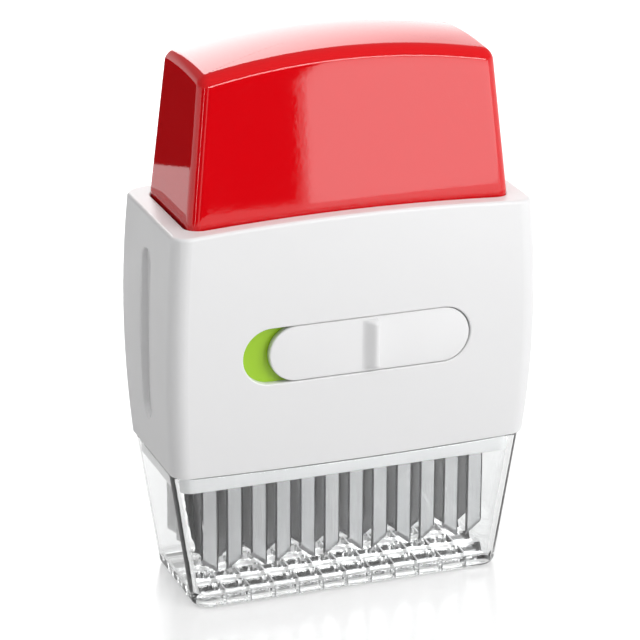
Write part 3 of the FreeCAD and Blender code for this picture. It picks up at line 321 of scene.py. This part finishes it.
whiteShell = {
    "tone": (0.80, 0.80, 0.805), "drift": 0.012, "driftScale": 16.0, "peelScale": 900.0,
    "gloss": (0.32, 0.42), "ior": 1.50, "bump": 0.10, "bumpDepth": 0.00008,
    "scratches": 0.05, "scratchPatch": 26.0, "scratchDepth": 0.5,
    "scuffTone": (0.72, 0.72, 0.72), "scuffShare": 0.35, "scuffRough": 0.25,
    "dustAndShade": 0.10, "hollowShadeReach": 0.0025, "dustAndShadeTone": (0.50, 0.49, 0.47), "dustAndShadeRough": 0.4,
}
whiteSlide = dict(whiteShell, tone=(0.81, 0.81, 0.815), gloss=(0.30, 0.40), scratches=0.14, dustAndShade=0.16)
whiteNeck = dict(whiteShell, tone=(0.84, 0.845, 0.85), gloss=(0.30, 0.36), dustAndShade=0.0)
redShell = dict(
    whiteShell, tone=(0.70, 0.0015, 0.005), drift=0.05, gloss=(0.02, 0.045), scratches=0.06,
    scuffTone=(0.78, 0.10, 0.10), dustAndShade=0.02, dustAndShadeTone=(0.60, 0.30, 0.29), bump=0.07)
greenMark = dict(
    whiteShell, tone=(0.345, 0.60, 0.014), drift=0.08, gloss=(0.34, 0.44), scratches=0.25,
    scuffTone=(0.45, 0.66, 0.2), dustAndShade=0.10, dustAndShadeTone=(0.35, 0.45, 0.2))
greyCore = dict(
    whiteShell, tone=(0.42, 0.42, 0.43), drift=0.10, gloss=(0.42, 0.55), peelScale=420.0, scratches=0.4,
    scuffTone=(0.55, 0.55, 0.55), dustAndShade=0.12, bump=0.2)


def steel(name, spec):
    material, tree, shader = newMaterial(name)
    drawn = useGroup(tree, steelGroup, {
        "Tone": (*spec["tone"], 1), "Across": spec["across"], "Along": spec["along"],
        "Gloss Low": spec["gloss"][0], "Gloss High": spec["gloss"][1]})
    normal = addNode(tree, "ShaderNodeNewGeometry").outputs["Normal"]
    sideways = maths(tree, "ABSOLUTE", axisOf(tree, normal, "X"))
    # faces that look sideways are painted nearly black: a painted dark reflection on the sheared edges, which
    # are also rougher
    edgeShadeMask = spread(tree, sideways, *spec["edgeTurn"], 0.0, spec["paintedEdgeShade"])
    scuff = maths(tree, "MULTIPLY", scratchMask(tree, spec), spec["scuffShare"])
    tone = mixColour(tree, scuff, drawn["Tone"], (*spec["scuffTone"], 1))
    tone = mixColour(tree, edgeShadeMask, tone, (*spec["paintedEdgeTone"], 1))
    tree.links.new(tone, shader.inputs["Base Color"])
    rough = scaledSum(tree, drawn["Roughness"], edgeShadeMask, spec["edgeRough"], True)
    tree.links.new(rough, shader.inputs["Roughness"])
    shader.inputs["Metallic"].default_value = 1.0
    addBump(tree, shader, drawn["Height"], spec)
    return material


bladeSteel = {
    "tone": (0.42, 0.425, 0.43), "across": 5200.0, "along": 30.0, "gloss": (0.10, 0.20), "bump": 0.12,
    "bumpDepth": 0.00004, "scratches": 0.4, "scratchPatch": 40.0, "scuffTone": (0.80, 0.80, 0.80),
    "scuffShare": 0.5,
    "paintedEdgeShade": 0.95,           # sheared edges, which look sideways, are rougher and get a near-black tone: a painted dark reflection
    "edgeTurn": (0.25, 0.45), "paintedEdgeTone": (0.012, 0.012, 0.013), "edgeRough": 0.3,
}
paintedShadeSteel = dict(bladeSteel, tone=(0.09, 0.09, 0.093), gloss=(0.16, 0.26))     # a darker copy of the blade steel: painted shade for the rows that stand in the shade
springSteel = dict(
    bladeSteel, tone=(0.50, 0.50, 0.51), across=900.0, along=900.0, gloss=(0.2, 0.34), paintedEdgeShade=0.0)
postSteel = dict(bladeSteel, tone=(0.60, 0.60, 0.61), along=40.0, gloss=(0.12, 0.24), paintedEdgeShade=0.0)
screwSteel = dict(
    bladeSteel, tone=(0.55, 0.56, 0.57), across=700.0, along=700.0, gloss=(0.25, 0.38), paintedEdgeShade=0.0)


def clearPlastic(name, spec):
    # clear moulding: faint haze, flow lines in the walls and light scuffs on the foot
    material, tree, shader = newMaterial(name)
    flow = noise(tree, stretched(tree, spec["flowPull"]), spec["flowScale"], 2)
    foot = spread(tree, axisOf(tree, objectPlace(tree), "Z"), 0.0, spec["footLevel"], 1.0, 0.0)
    haze = scaledSum(tree, spec["roughness"], scratchMask(tree, spec), spec["scuffRough"])
    haze = scaledSum(tree, haze, foot, spec["footHaze"], True)
    tone = mixColour(tree, overNoise(tree, flow, 0.0, 1.0), (*spec["tone"], 1), (*spec["thickTone"], 1))
    tree.links.new(tone, shader.inputs["Base Color"])
    tree.links.new(haze, shader.inputs["Roughness"])
    shader.inputs["Transmission Weight"].default_value = 1.0
    shader.inputs["IOR"].default_value = spec["ior"]
    addBump(tree, shader, flow, spec)
    return material


guardPlastic = {
    "tone": (0.978, 0.982, 0.982), "thickTone": (0.945, 0.955, 0.955), "roughness": 0.01, "ior": 1.49,
    "footHaze": 0.06, "footLevel": 0.0012, "flowScale": 70.0, "flowPull": (1, 1, 0.35),
    "bump": 0.08, "bumpDepth": 0.00025, "scratches": 0.25, "scratchPatch": 30.0, "scuffRough": 0.15,
}

bladeRows = range(1, 5)
# rows 2 and 3 take the darker steel, which is painted shade between the rows
paintedShadeRows = (2, 3)

finishes = {
    "housing": plastic("whiteShell", whiteShell),
    "neck_frame": plastic("whiteNeck", whiteNeck),
    "lock_slider": plastic("whiteSlide", whiteSlide),
    "handle_cap": plastic("redShell", redShell),
    "lock_indicator": plastic("greenMark", greenMark),
    "blade_guard": clearPlastic("guardPlastic", guardPlastic),
}
coreFinish = plastic("greyCore", greyCore)
for name in ("drive_core", "blade_clamp", "blade_comb", "lock_bolt"):
    finishes[name] = coreFinish
bladeFinish = steel("bladeSteel", bladeSteel)
# the darker steel paints the shade on the inner rows
paintedShadeFinish = steel("paintedShadeSteel", paintedShadeSteel)
for row in bladeRows:
    finishes[f"blade_row_{row}"] = paintedShadeFinish if row in paintedShadeRows else bladeFinish
springFinish = steel("springSteel", springSteel)
postFinish = steel("postSteel", postSteel)
screwFinish = steel("screwSteel", screwSteel)
for side in ("left", "right"):
    finishes[f"return_spring_{side}"] = springFinish
    finishes[f"guide_post_{side}"] = postFinish
for name in ("cap_screws", "column_screws", "comb_screws", "lock_screw"):
    finishes[name] = screwFinish
for name, item in nodes.items():
    item.data.materials.clear()
    item.data.materials.append(finishes[name])
print("finishes on", len(finishes), "nodes")


def newPiece(name, vertices, faces, finish, body, smooth=True):
    mesh = bpy.data.meshes.new(name)
    mesh.from_pydata([tuple(point) for point in vertices], [], faces)
    mesh.update()
    item = bpy.data.objects.new(name, mesh)
    scene.collection.objects.link(item)
    mesh.materials.append(finish)
    for polygon in mesh.polygons:
        polygon.use_smooth = smooth
    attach(item, body)
    return item


def bandFaces(rings, count):
    # quads between closed rings of points that follow one another
    faces = []
    for ring in range(rings - 1):
        for step in range(count):
            first = ring * count + step
            second = ring * count + (step + 1) % count
            faces.append((first, second, second + count, first + count))
    return faces


blades = {
    "count": 12,
    "halfWidth": 0.00225,
    "headHalf": 0.0029,
    "headHeight": 0.0016,
    "headSink": 0.0003,    # how far the strip reaches up into its head
    "slant": 0.0036,       # the tip's rise from one side of the blade to the other
    "grind": 0.0015,       # height of the ground facet at the tip
    "edgeGrind": 0.00045,  # chamfers along both sides of the front face: width and depth
    "edgeDepth": 0.00030,
}


def makeBladeRow(name, spec):
    low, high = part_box(name)
    front, back = low[1], high[1]
    pitch = (high[0] - low[0] - 2 * spec["headHalf"]) / (spec["count"] - 1)
    top = high[2]
    seat = top - spec["headHeight"]
    half, ground, depth = spec["halfWidth"], spec["edgeGrind"], spec["edgeDepth"]
    outline = [(-half, back), (-half, front + depth), (-half + ground, front), (half - ground, front),
               (half, front + depth), (half, back)]
    head = [(-spec["headHalf"], back), (-spec["headHalf"], front), (spec["headHalf"], front),
            (spec["headHalf"], back)]
    vertices = []
    faces = []

    def addPrism(corners, lowEnds, highEnd):
        start, count = len(vertices), len(corners)
        vertices.extend((x, y, z) for (x, y), z in zip(corners, lowEnds))
        vertices.extend((x, y, highEnd) for x, y in corners)
        faces.append(tuple(start + step for step in range(count))[::-1])
        faces.append(tuple(start + count + step for step in range(count)))
        faces.extend(tuple(start + index for index in face) for face in bandFaces(2, count))

    for place in range(spec["count"]):
        middle = low[0] + spec["headHalf"] + place * pitch
        lean = 1 if place % 2 else -1      # tips slant to each side in turn
        tips = []
        for x, y in outline:
            rise = (half + lean * x) / (2 * half) * spec["slant"]
            tips.append(low[2] + rise + spec["grind"] * (back - y) / (back - front))
        addPrism([(middle + x, y) for x, y in outline], tips, seat + spec["headSink"])
        addPrism([(middle + x, y) for x, y in head], [seat] * len(head), top)
    item = newPiece(f"ground_{name}", vertices, faces, finishes[name], "handle", smooth=False)
    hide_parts(name)


for row in bladeRows:
    makeBladeRow(f"blade_row_{row}", blades)
print("blade rows ground")

capShell = {
    "topInset": 0.0044,       # how much narrower the top is than the mouth, at each side
    "topInsetY": 0.0025,
    "topRise": 0.0026,        # how far the top stands above the solid's
    "corner": 0.0032,         # rounding of the upright edges
    "crownX": 0.0042,         # rise of the top across its width
    "crownY": 0.0009,
    "frontRound": 0.0032,     # rounding of the long top edges
    "endRound": 0.0026,       # rounding of the short ones
    "drawFoot": 0.1074,       # the walls stand upright below this level and lean in above it
    "skin": 0.0022,           # thickness at the mouth
    "skinRise": 0.012,        # how far the inner wall goes up
    "straightSteps": 48,      # points along each straight part of the outline
    "cornerSteps": 8,
    "wallSteps": 14,
    "roundSteps": 9,
    "topSteps": 30,
}


def roundedOutline(halfX, halfY, corner, straightSteps, cornerSteps):
    # points and outward directions round an upright rounded rectangle
    inX, inY = halfX - corner, halfY - corner
    sides = (
        # start and end of a straight part, centre of the corner that follows, and outward angle
        ((-inX, -halfY), (inX, -halfY), (inX, -inY), -90),
        ((halfX, -inY), (halfX, inY), (inX, inY), 0),
        ((inX, halfY), (-inX, halfY), (-inX, inY), 90),
        ((-halfX, inY), (-halfX, -inY), (-inX, -inY), 180),
    )
    points = []
    for start, end, centre, angle in sides:
        away = Vector((math.cos(math.radians(angle)), math.sin(math.radians(angle)), 0))
        for step in range(straightSteps):
            share = step / straightSteps
            x, y = (first + (last - first) * share for first, last in zip(start, end))
            points.append((Vector((x, y, 0)), away))
        for step in range(cornerSteps):
            turn = math.radians(angle + 90 * step / cornerSteps)
            away = Vector((math.cos(turn), math.sin(turn), 0))
            points.append((Vector((*centre, 0)) + away * corner, away))
    return points


def makeCap(name, spec):
    low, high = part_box(name)
    mouthX, mouthY = high[0], high[1]
    foot, peak = low[2], high[2] + spec["topRise"]
    topX, topY = mouthX - spec["topInset"], mouthY - spec["topInsetY"]

    def wall(z):
        share = max(0.0, (z - spec["drawFoot"]) / (peak - spec["drawFoot"]))
        return mouthX + (topX - mouthX) * share, mouthY + (topY - mouthY) * share

    def topLevel(x, y):
        return peak - spec["crownX"] * (x / topX) ** 2 - spec["crownY"] * (y / topY) ** 2

    def outline(halfX, halfY):
        return roundedOutline(halfX, halfY, spec["corner"], spec["straightSteps"], spec["cornerSteps"])

    def levelRing(z):
        return [Vector((point.x, point.y, z)) for point, away in outline(*wall(z))]

    def edgeRing(inset, drop):
        # a ring on the rounding, where each point finds its own level
        points = []
        halfX, halfY = wall(peak - spec["crownX"])
        for point, away in outline(halfX, halfY):
            radius = spec["endRound"] + (spec["frontRound"] - spec["endRound"]) * away.y ** 2
            leanX, leanY = wall(topLevel(point.x, point.y) - radius * drop)
            x = point.x * leanX / halfX - away.x * radius * inset
            y = point.y * leanY / halfY - away.y * radius * inset
            points.append(Vector((x, y, topLevel(x, y) - radius * drop)))
        return points

    mouth = levelRing(foot)
    shrinkX, shrinkY = 1 - spec["skin"] / mouthX, 1 - spec["skin"] / mouthY
    inner = [Vector((point.x * shrinkX, point.y * shrinkY, foot)) for point in mouth]
    raised = [point + Vector((0, 0, spec["skinRise"])) for point in inner]
    base = levelRing(spec["drawFoot"])
    edge = edgeRing(0.0, 1.0)
    rings = [raised, inner, mouth, base]
    for step in range(1, spec["wallSteps"]):
        share = step / spec["wallSteps"]
        rings.append([first.lerp(second, share) for first, second in zip(base, edge)])
    for step in range(spec["roundSteps"] + 1):
        turn = math.pi / 2 * step / spec["roundSteps"]
        rings.append(edgeRing(1 - math.cos(turn), 1 - math.sin(turn)))
    rim = rings[-1]
    for step in range(1, spec["topSteps"]):
        share = 1 - step / spec["topSteps"]
        rings.append([Vector((p.x * share, p.y * share, topLevel(p.x * share, p.y * share))) for p in rim])
    vertices = [point for loop in rings for point in loop] + [Vector((0, 0, peak))]
    count = len(rim)
    faces = bandFaces(len(rings), count)
    last = (len(rings) - 1) * count
    faces += [(last + step, last + (step + 1) % count, len(vertices) - 1) for step in range(count)]
    item = newPiece("handle_shell", vertices, faces, finishes[name], "handle")
    bentX, bentY = 2 * spec["crownX"] / topX ** 2, 2 * spec["crownY"] / topY ** 2
    domeStart = (len(rings) - spec["topSteps"]) * count
    normals = [Vector((0, 0, 0))] * domeStart
    normals += [Vector((bentX * p.x, bentY * p.y, 1)).normalized() for p in vertices[domeStart:]]
    item.data.normals_split_custom_set_from_vertices(normals)   # a true crown without facets
    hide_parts(name)


makeCap("handle_cap", capShell)
print("cap moulded")

slide = {
    "plate": 0.0019,
    "plateRound": 0.0004,
    "endSteps": 32,           # points round each end of the plate
    "roundSteps": 5,
    "ribHeight": 0.0022,
    "ribLeft": 0.0022,        # the thumb rib is a wedge: it ramps up from the left
    "rampEnd": 0.0012,        # and runs flat from here to its steep right side
    "ribRight": 0.0019,
    "ribHalfZ": 0.0068,
    "ribEndRound": 0.0011,
    "cornerRound": 0.0004,
    "ribColumns": 30,
    "ribRows": 26,
    "studHalf": 0.0020,
    "studDrop": 0.0012,
    "studRound": 0.0002,
    "studSteps": 2,
    "studSharp": 40.0,        # degrees: sharper edges than this are rounded
}


def smoothStep(value):
    value = min(1.0, max(0.0, value))
    return value * value * (3 - 2 * value)


def soften(item, width, segments, angle):
    # small rounding on the sharp edges
    bevel = item.modifiers.new("softEdges", "BEVEL")
    bevel.width = width
    bevel.segments = segments
    bevel.limit_method = "ANGLE"
    bevel.angle_limit = math.radians(angle)


def makeSlide(name, spec):
    low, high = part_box(name)
    middleX, level = (low[0] + high[0]) / 2, (low[2] + high[2]) / 2
    halfX, halfZ = (high[0] - low[0]) / 2, (high[2] - low[2]) / 2
    face = low[1] + spec["ribHeight"]
    rear = face + spec["plate"]
    finish = finishes[name]

    def stadiumRing(inset, y):
        points = []
        radius = halfZ - inset
        for side in (1, -1):
            for step in range(spec["endSteps"] + 1):
                turn = math.pi * step / spec["endSteps"] - math.pi / 2
                points.append((middleX + side * (halfX - halfZ + radius * math.cos(turn)), y,
                               level + side * radius * math.sin(turn)))
        return points

    size = spec["plateRound"]
    rings = [stadiumRing(0, rear)]
    for step in range(spec["roundSteps"] + 1):
        turn = math.pi / 2 * step / spec["roundSteps"]
        rings.append(stadiumRing(size * (1 - math.cos(turn)), face + size * (1 - math.sin(turn))))
    count = len(rings[0])
    last = (len(rings) - 1) * count
    vertices = [point for loop in rings for point in loop]
    faces = [tuple(range(count)), tuple(last + step for step in range(count))[::-1]]
    faces += [(b, a, d, c) for a, b, c, d in bandFaces(len(rings), count)]
    plate = newPiece("slide_plate", vertices, faces, finish, "lock")

    columns, rows = spec["ribColumns"], spec["ribRows"]
    tall = rows + 1
    left, right = -spec["ribLeft"], spec["ribRight"]
    bend, endRound = spec["cornerRound"], spec["ribEndRound"]
    vertices = []
    for column in range(columns + 1):
        x = left + (right - left) * column / columns
        past = max(0.0, x - (right - bend))
        rise = smoothStep((x - left) / (spec["rampEnd"] - left))
        rise -= (bend - math.sqrt(max(0.0, bend ** 2 - past ** 2))) / spec["ribHeight"]
        for row in range(tall):
            z = -spec["ribHalfZ"] * math.cos(math.pi * row / rows)
            beyond = max(0.0, abs(z) - (spec["ribHalfZ"] - endRound)) / endRound
            bow = math.sqrt(max(0.0, 1 - beyond ** 2))
            vertices.append((middleX + x, face - spec["ribHeight"] * rise * bow, level + z))
    faces = []
    for column in range(columns):
        for row in range(rows):
            first = column * tall + row
            faces.append((first, first + tall, first + tall + 1, first + 1))
    rim = list(range(tall))      # the rib's outline, once round
    rim += [column * tall + rows for column in range(1, columns + 1)]
    rim += [columns * tall + row for row in range(rows - 1, -1, -1)]
    rim += [column * tall for column in range(columns - 1, 0, -1)]
    sunk = len(vertices)
    vertices += [(vertices[index][0], face + spec["plateRound"] / 2, vertices[index][2]) for index in rim]
    for step, index in enumerate(rim):
        after = (step + 1) % len(rim)
        faces.append((index, rim[after], sunk + after, sunk + step))
    faces.append(tuple(sunk + step for step in range(len(rim)))[::-1])
    newPiece("thumb_rib", vertices, faces, finish, "lock")

    half, sink = spec["studHalf"], level - spec["studDrop"]
    corners = [(-half, -half), (half, -half), (half, half), (-half, half)]
    vertices = [(middleX + x, y, sink + z) for y in (rear - spec["plate"] / 2, high[1]) for x, z in corners]
    faces = [(0, 1, 2, 3), (7, 6, 5, 4), (0, 4, 5, 1), (1, 5, 6, 2), (2, 6, 7, 3), (3, 7, 4, 0)]
    stud = newPiece("slide_stud", vertices, faces, finish, "lock", smooth=False)
    soften(stud, spec["studRound"], spec["studSteps"], spec["studSharp"])
    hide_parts(name)


makeSlide("lock_slider", slide)
print("slide moulded")

springs = {
    "turns": 9,
    "stepsPerTurn": 28,
    "ringSides": 10,
    "radius": 0.0044,
    "wire": 0.0009,
    "travel": 0.0265,
}


def makeSpring(name, spec):
    low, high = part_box(name)
    middle = (low[0] + high[0]) / 2
    half = spec["wire"] / 2
    foot, top = low[2] + half, high[2] - half
    steps, sides, radius = spec["turns"] * spec["stepsPerTurn"], spec["ringSides"], spec["radius"]
    rise = (top - foot) / (2 * math.pi * spec["turns"])
    vertices = []
    for step in range(steps + 1):
        angle = 2 * math.pi * spec["turns"] * step / steps
        outward = Vector((math.cos(angle), math.sin(angle), 0))
        heading = Vector((-math.sin(angle) * radius, math.cos(angle) * radius, rise)).normalized()
        across = outward.cross(heading)
        centre = Vector((middle, 0, foot + rise * angle)) + outward * radius
        for side in range(sides):
            turn = 2 * math.pi * side / sides
            vertices.append(centre + (outward * math.cos(turn) + across * math.sin(turn)) * half)
    faces = bandFaces(steps + 1, sides)
    faces.append(tuple(range(sides))[::-1])
    faces.append(tuple(steps * sides + side for side in range(sides)))
    item = newPiece(f"wound_{name}", vertices, faces, springFinish, "sleeve")
    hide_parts(name)
    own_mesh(item)


for side in ("left", "right"):
    makeSpring(f"return_spring_{side}", springs)
print("springs wound")

lamps = {
    # place, aim, width, height, watts and task: "light" lights surfaces and isn't mirrored, "gleam" is
    # only mirrored or seen through the guard, and "edge" is only mirrored
    "keySoftbox": ((0.75, -0.85, 0.55), (0, 0, 0.07), 0.90, 0.80, 10.8, "light"),
    "overheadSoftbox": ((-0.28, -0.25, 1.05), (0, 0, 0.07), 0.95, 0.80, 4.3, "light"),
    "rearFill": ((0.42, 1.05, 0.48), (0, 0, 0.14), 1.30, 0.42, 2.9, "light"),
    "frontWindow": ((0.355, -0.49, 0.11), (0.355, 0.0, 0.11), 0.40, 0.22, 0.71, "gleam"),
    "brightStrip": ((0.20, -0.80, 0.40), (0.20, 0.0, 0.40), 0.80, 0.09, 2.6, "gleam"),
    "leftStrip": ((-0.33, -0.30, 0.13), (0, 0, 0.13), 0.016, 0.26, 0.13, "edge"),
}


def placeLamps():
    for name, (place, aim, width, height, watts, task) in lamps.items():
        data = bpy.data.lights.new(name, "AREA")
        data.shape = "RECTANGLE"
        data.size = width
        data.size_y = height
        data.energy = watts
        item = bpy.data.objects.new(name, data)
        item.location = place
        item.rotation_euler = (Vector(aim) - Vector(place)).to_track_quat("-Z", "Y").to_euler()
        item.visible_camera = False
        item.visible_transmission = task != "edge"
        item.visible_glossy = task != "light"
        item.visible_diffuse = task == "light"
        scene.collection.objects.link(item)


stage = {
    "floorBounce": (0.72, 0.72, 0.72),     # what the floor gives to the object
    "floorSeen": (0.57, 0.57, 0.57),       # its share that still takes the shadow
    "paintedShadeGlow": (0.41, 0.41, 0.41),        # the paper white that the camera sees, under the object, lowered there as painted shade
    "glowFar": (0.72, 0.72, 0.72),
    "glowReach": (0.12, 0.45),
    "worldLight": 0.355,
    "horizonFade": (0.10, 0.30),           # seen directly, the world is paper white up to here
    "grain": (0.98, 1.0),
    "grainScale": 900.0,
    "gloss": 0.22,
    "halfSize": 3.0,
    "level": -0.0003,
}

cards = {
    # place, half width, half height, turn about Z, glow at its left and right: only reflections see them
    "frontCard": ((0.025, -0.50, 0.11), 0.13, 0.11, 0.0, None),
    "leftCard": ((-0.36, -0.35, 0.12), 0.22, 0.12, -45.0, None),
    "rearLeftCard": ((-0.18, 0.26, 0.092), 0.11, 0.043, 0.0, None),
    "rearPaper": ((0.45, 1.05, 0.52), 0.55, 0.42, 0.0, (4.7, 1.55)),
}
cardLook = {
    "tone": (0.01, 0.01, 0.01, 1),
    "roughness": 0.9,
    "glowStart": -0.65,        # the glow runs from left to right between these shares of the half width
    "glowEnd": 0.25,
}


def seenRays(tree):
    rays = addNode(tree, "ShaderNodeLightPath").outputs
    seen = maths(tree, "ADD", rays["Is Camera Ray"], rays["Is Glossy Ray"], True)
    return maths(tree, "ADD", seen, rays["Is Transmission Ray"], True)


def flatPiece(name, corners):
    mesh = bpy.data.meshes.new(name)
    mesh.from_pydata(corners, [], [(0, 1, 2, 3)])
    item = bpy.data.objects.new(name, mesh)
    scene.collection.objects.link(item)
    return item


def buildStage(spec):
    reach, level = spec["halfSize"], spec["level"]
    floor = flatPiece("floor", [
        (-reach, -reach, level), (reach, -reach, level), (reach, reach, level), (-reach, reach, level)])
    material, tree, shader = newMaterial("floorPaper")
    seen = seenRays(tree)
    grain = overNoise(tree, noise(tree, stretched(tree, (1, 1, 1)), spec["grainScale"], 3), *spec["grain"])
    base = mixColour(tree, seen, (*spec["floorBounce"], 1), (*spec["floorSeen"], 1))
    tree.links.new(shaded(tree, base, grain), shader.inputs["Base Color"])
    # the glow rises from near the object to far away: the lower glow near it is painted shade
    away = addNode(tree, "ShaderNodeVectorMath", {"operation": "LENGTH"}, {0: objectPlace(tree)})
    far = spread(tree, away.outputs["Value"], *spec["glowReach"], 0.0, 1.0)
    glow = mixColour(tree, far, (*spec["paintedShadeGlow"], 1), (*spec["glowFar"], 1))
    tree.links.new(mixColour(tree, seen, (0, 0, 0, 1), glow), shader.inputs["Emission Color"])
    shader.inputs["Emission Strength"].default_value = 1.0
    shader.inputs["Roughness"].default_value = spec["gloss"]
    floor.data.materials.append(material)

    world = bpy.data.worlds.new("studio")
    world.use_nodes = True
    tree = world.node_tree
    background = tree.nodes["Background"]
    direction = addNode(tree, "ShaderNodeTexCoord").outputs["Generated"]
    horizon = spread(tree, axisOf(tree, direction, "Z"), *spec["horizonFade"], 1.0, 0.0)
    paper = maths(tree, "MULTIPLY", seenRays(tree), horizon)
    background.inputs["Color"].default_value = (1, 1, 1, 1)
    tree.links.new(spread(tree, paper, 0.0, 1.0, spec["worldLight"], 1.0), background.inputs["Strength"])
    scene.world = world


def buildCards(look):
    for name, (place, halfWidth, halfHeight, turn, glow) in cards.items():
        card = flatPiece(name, [
            (-halfWidth, 0, -halfHeight), (halfWidth, 0, -halfHeight),
            (halfWidth, 0, halfHeight), (-halfWidth, 0, halfHeight)])
        card.location = place
        card.rotation_euler = (0, 0, math.radians(turn))
        material, tree, shader = newMaterial(name)
        shader.inputs["Base Color"].default_value = look["tone"]
        shader.inputs["Roughness"].default_value = look["roughness"]
        if glow:
            across = axisOf(tree, objectPlace(tree), "X")
            start, end = halfWidth * look["glowStart"], halfWidth * look["glowEnd"]
            tree.links.new(spread(tree, across, start, end, *glow), shader.inputs["Emission Strength"])
            shader.inputs["Emission Color"].default_value = (1, 1, 1, 1)
        card.data.materials.append(material)
        card.visible_camera = False
        card.visible_diffuse = False
        card.visible_transmission = False
        card.visible_shadow = False


placeLamps()
buildStage(stage)
buildCards(cardLook)
scene.view_settings.view_transform = "Standard"
print("lamps and floor placed")
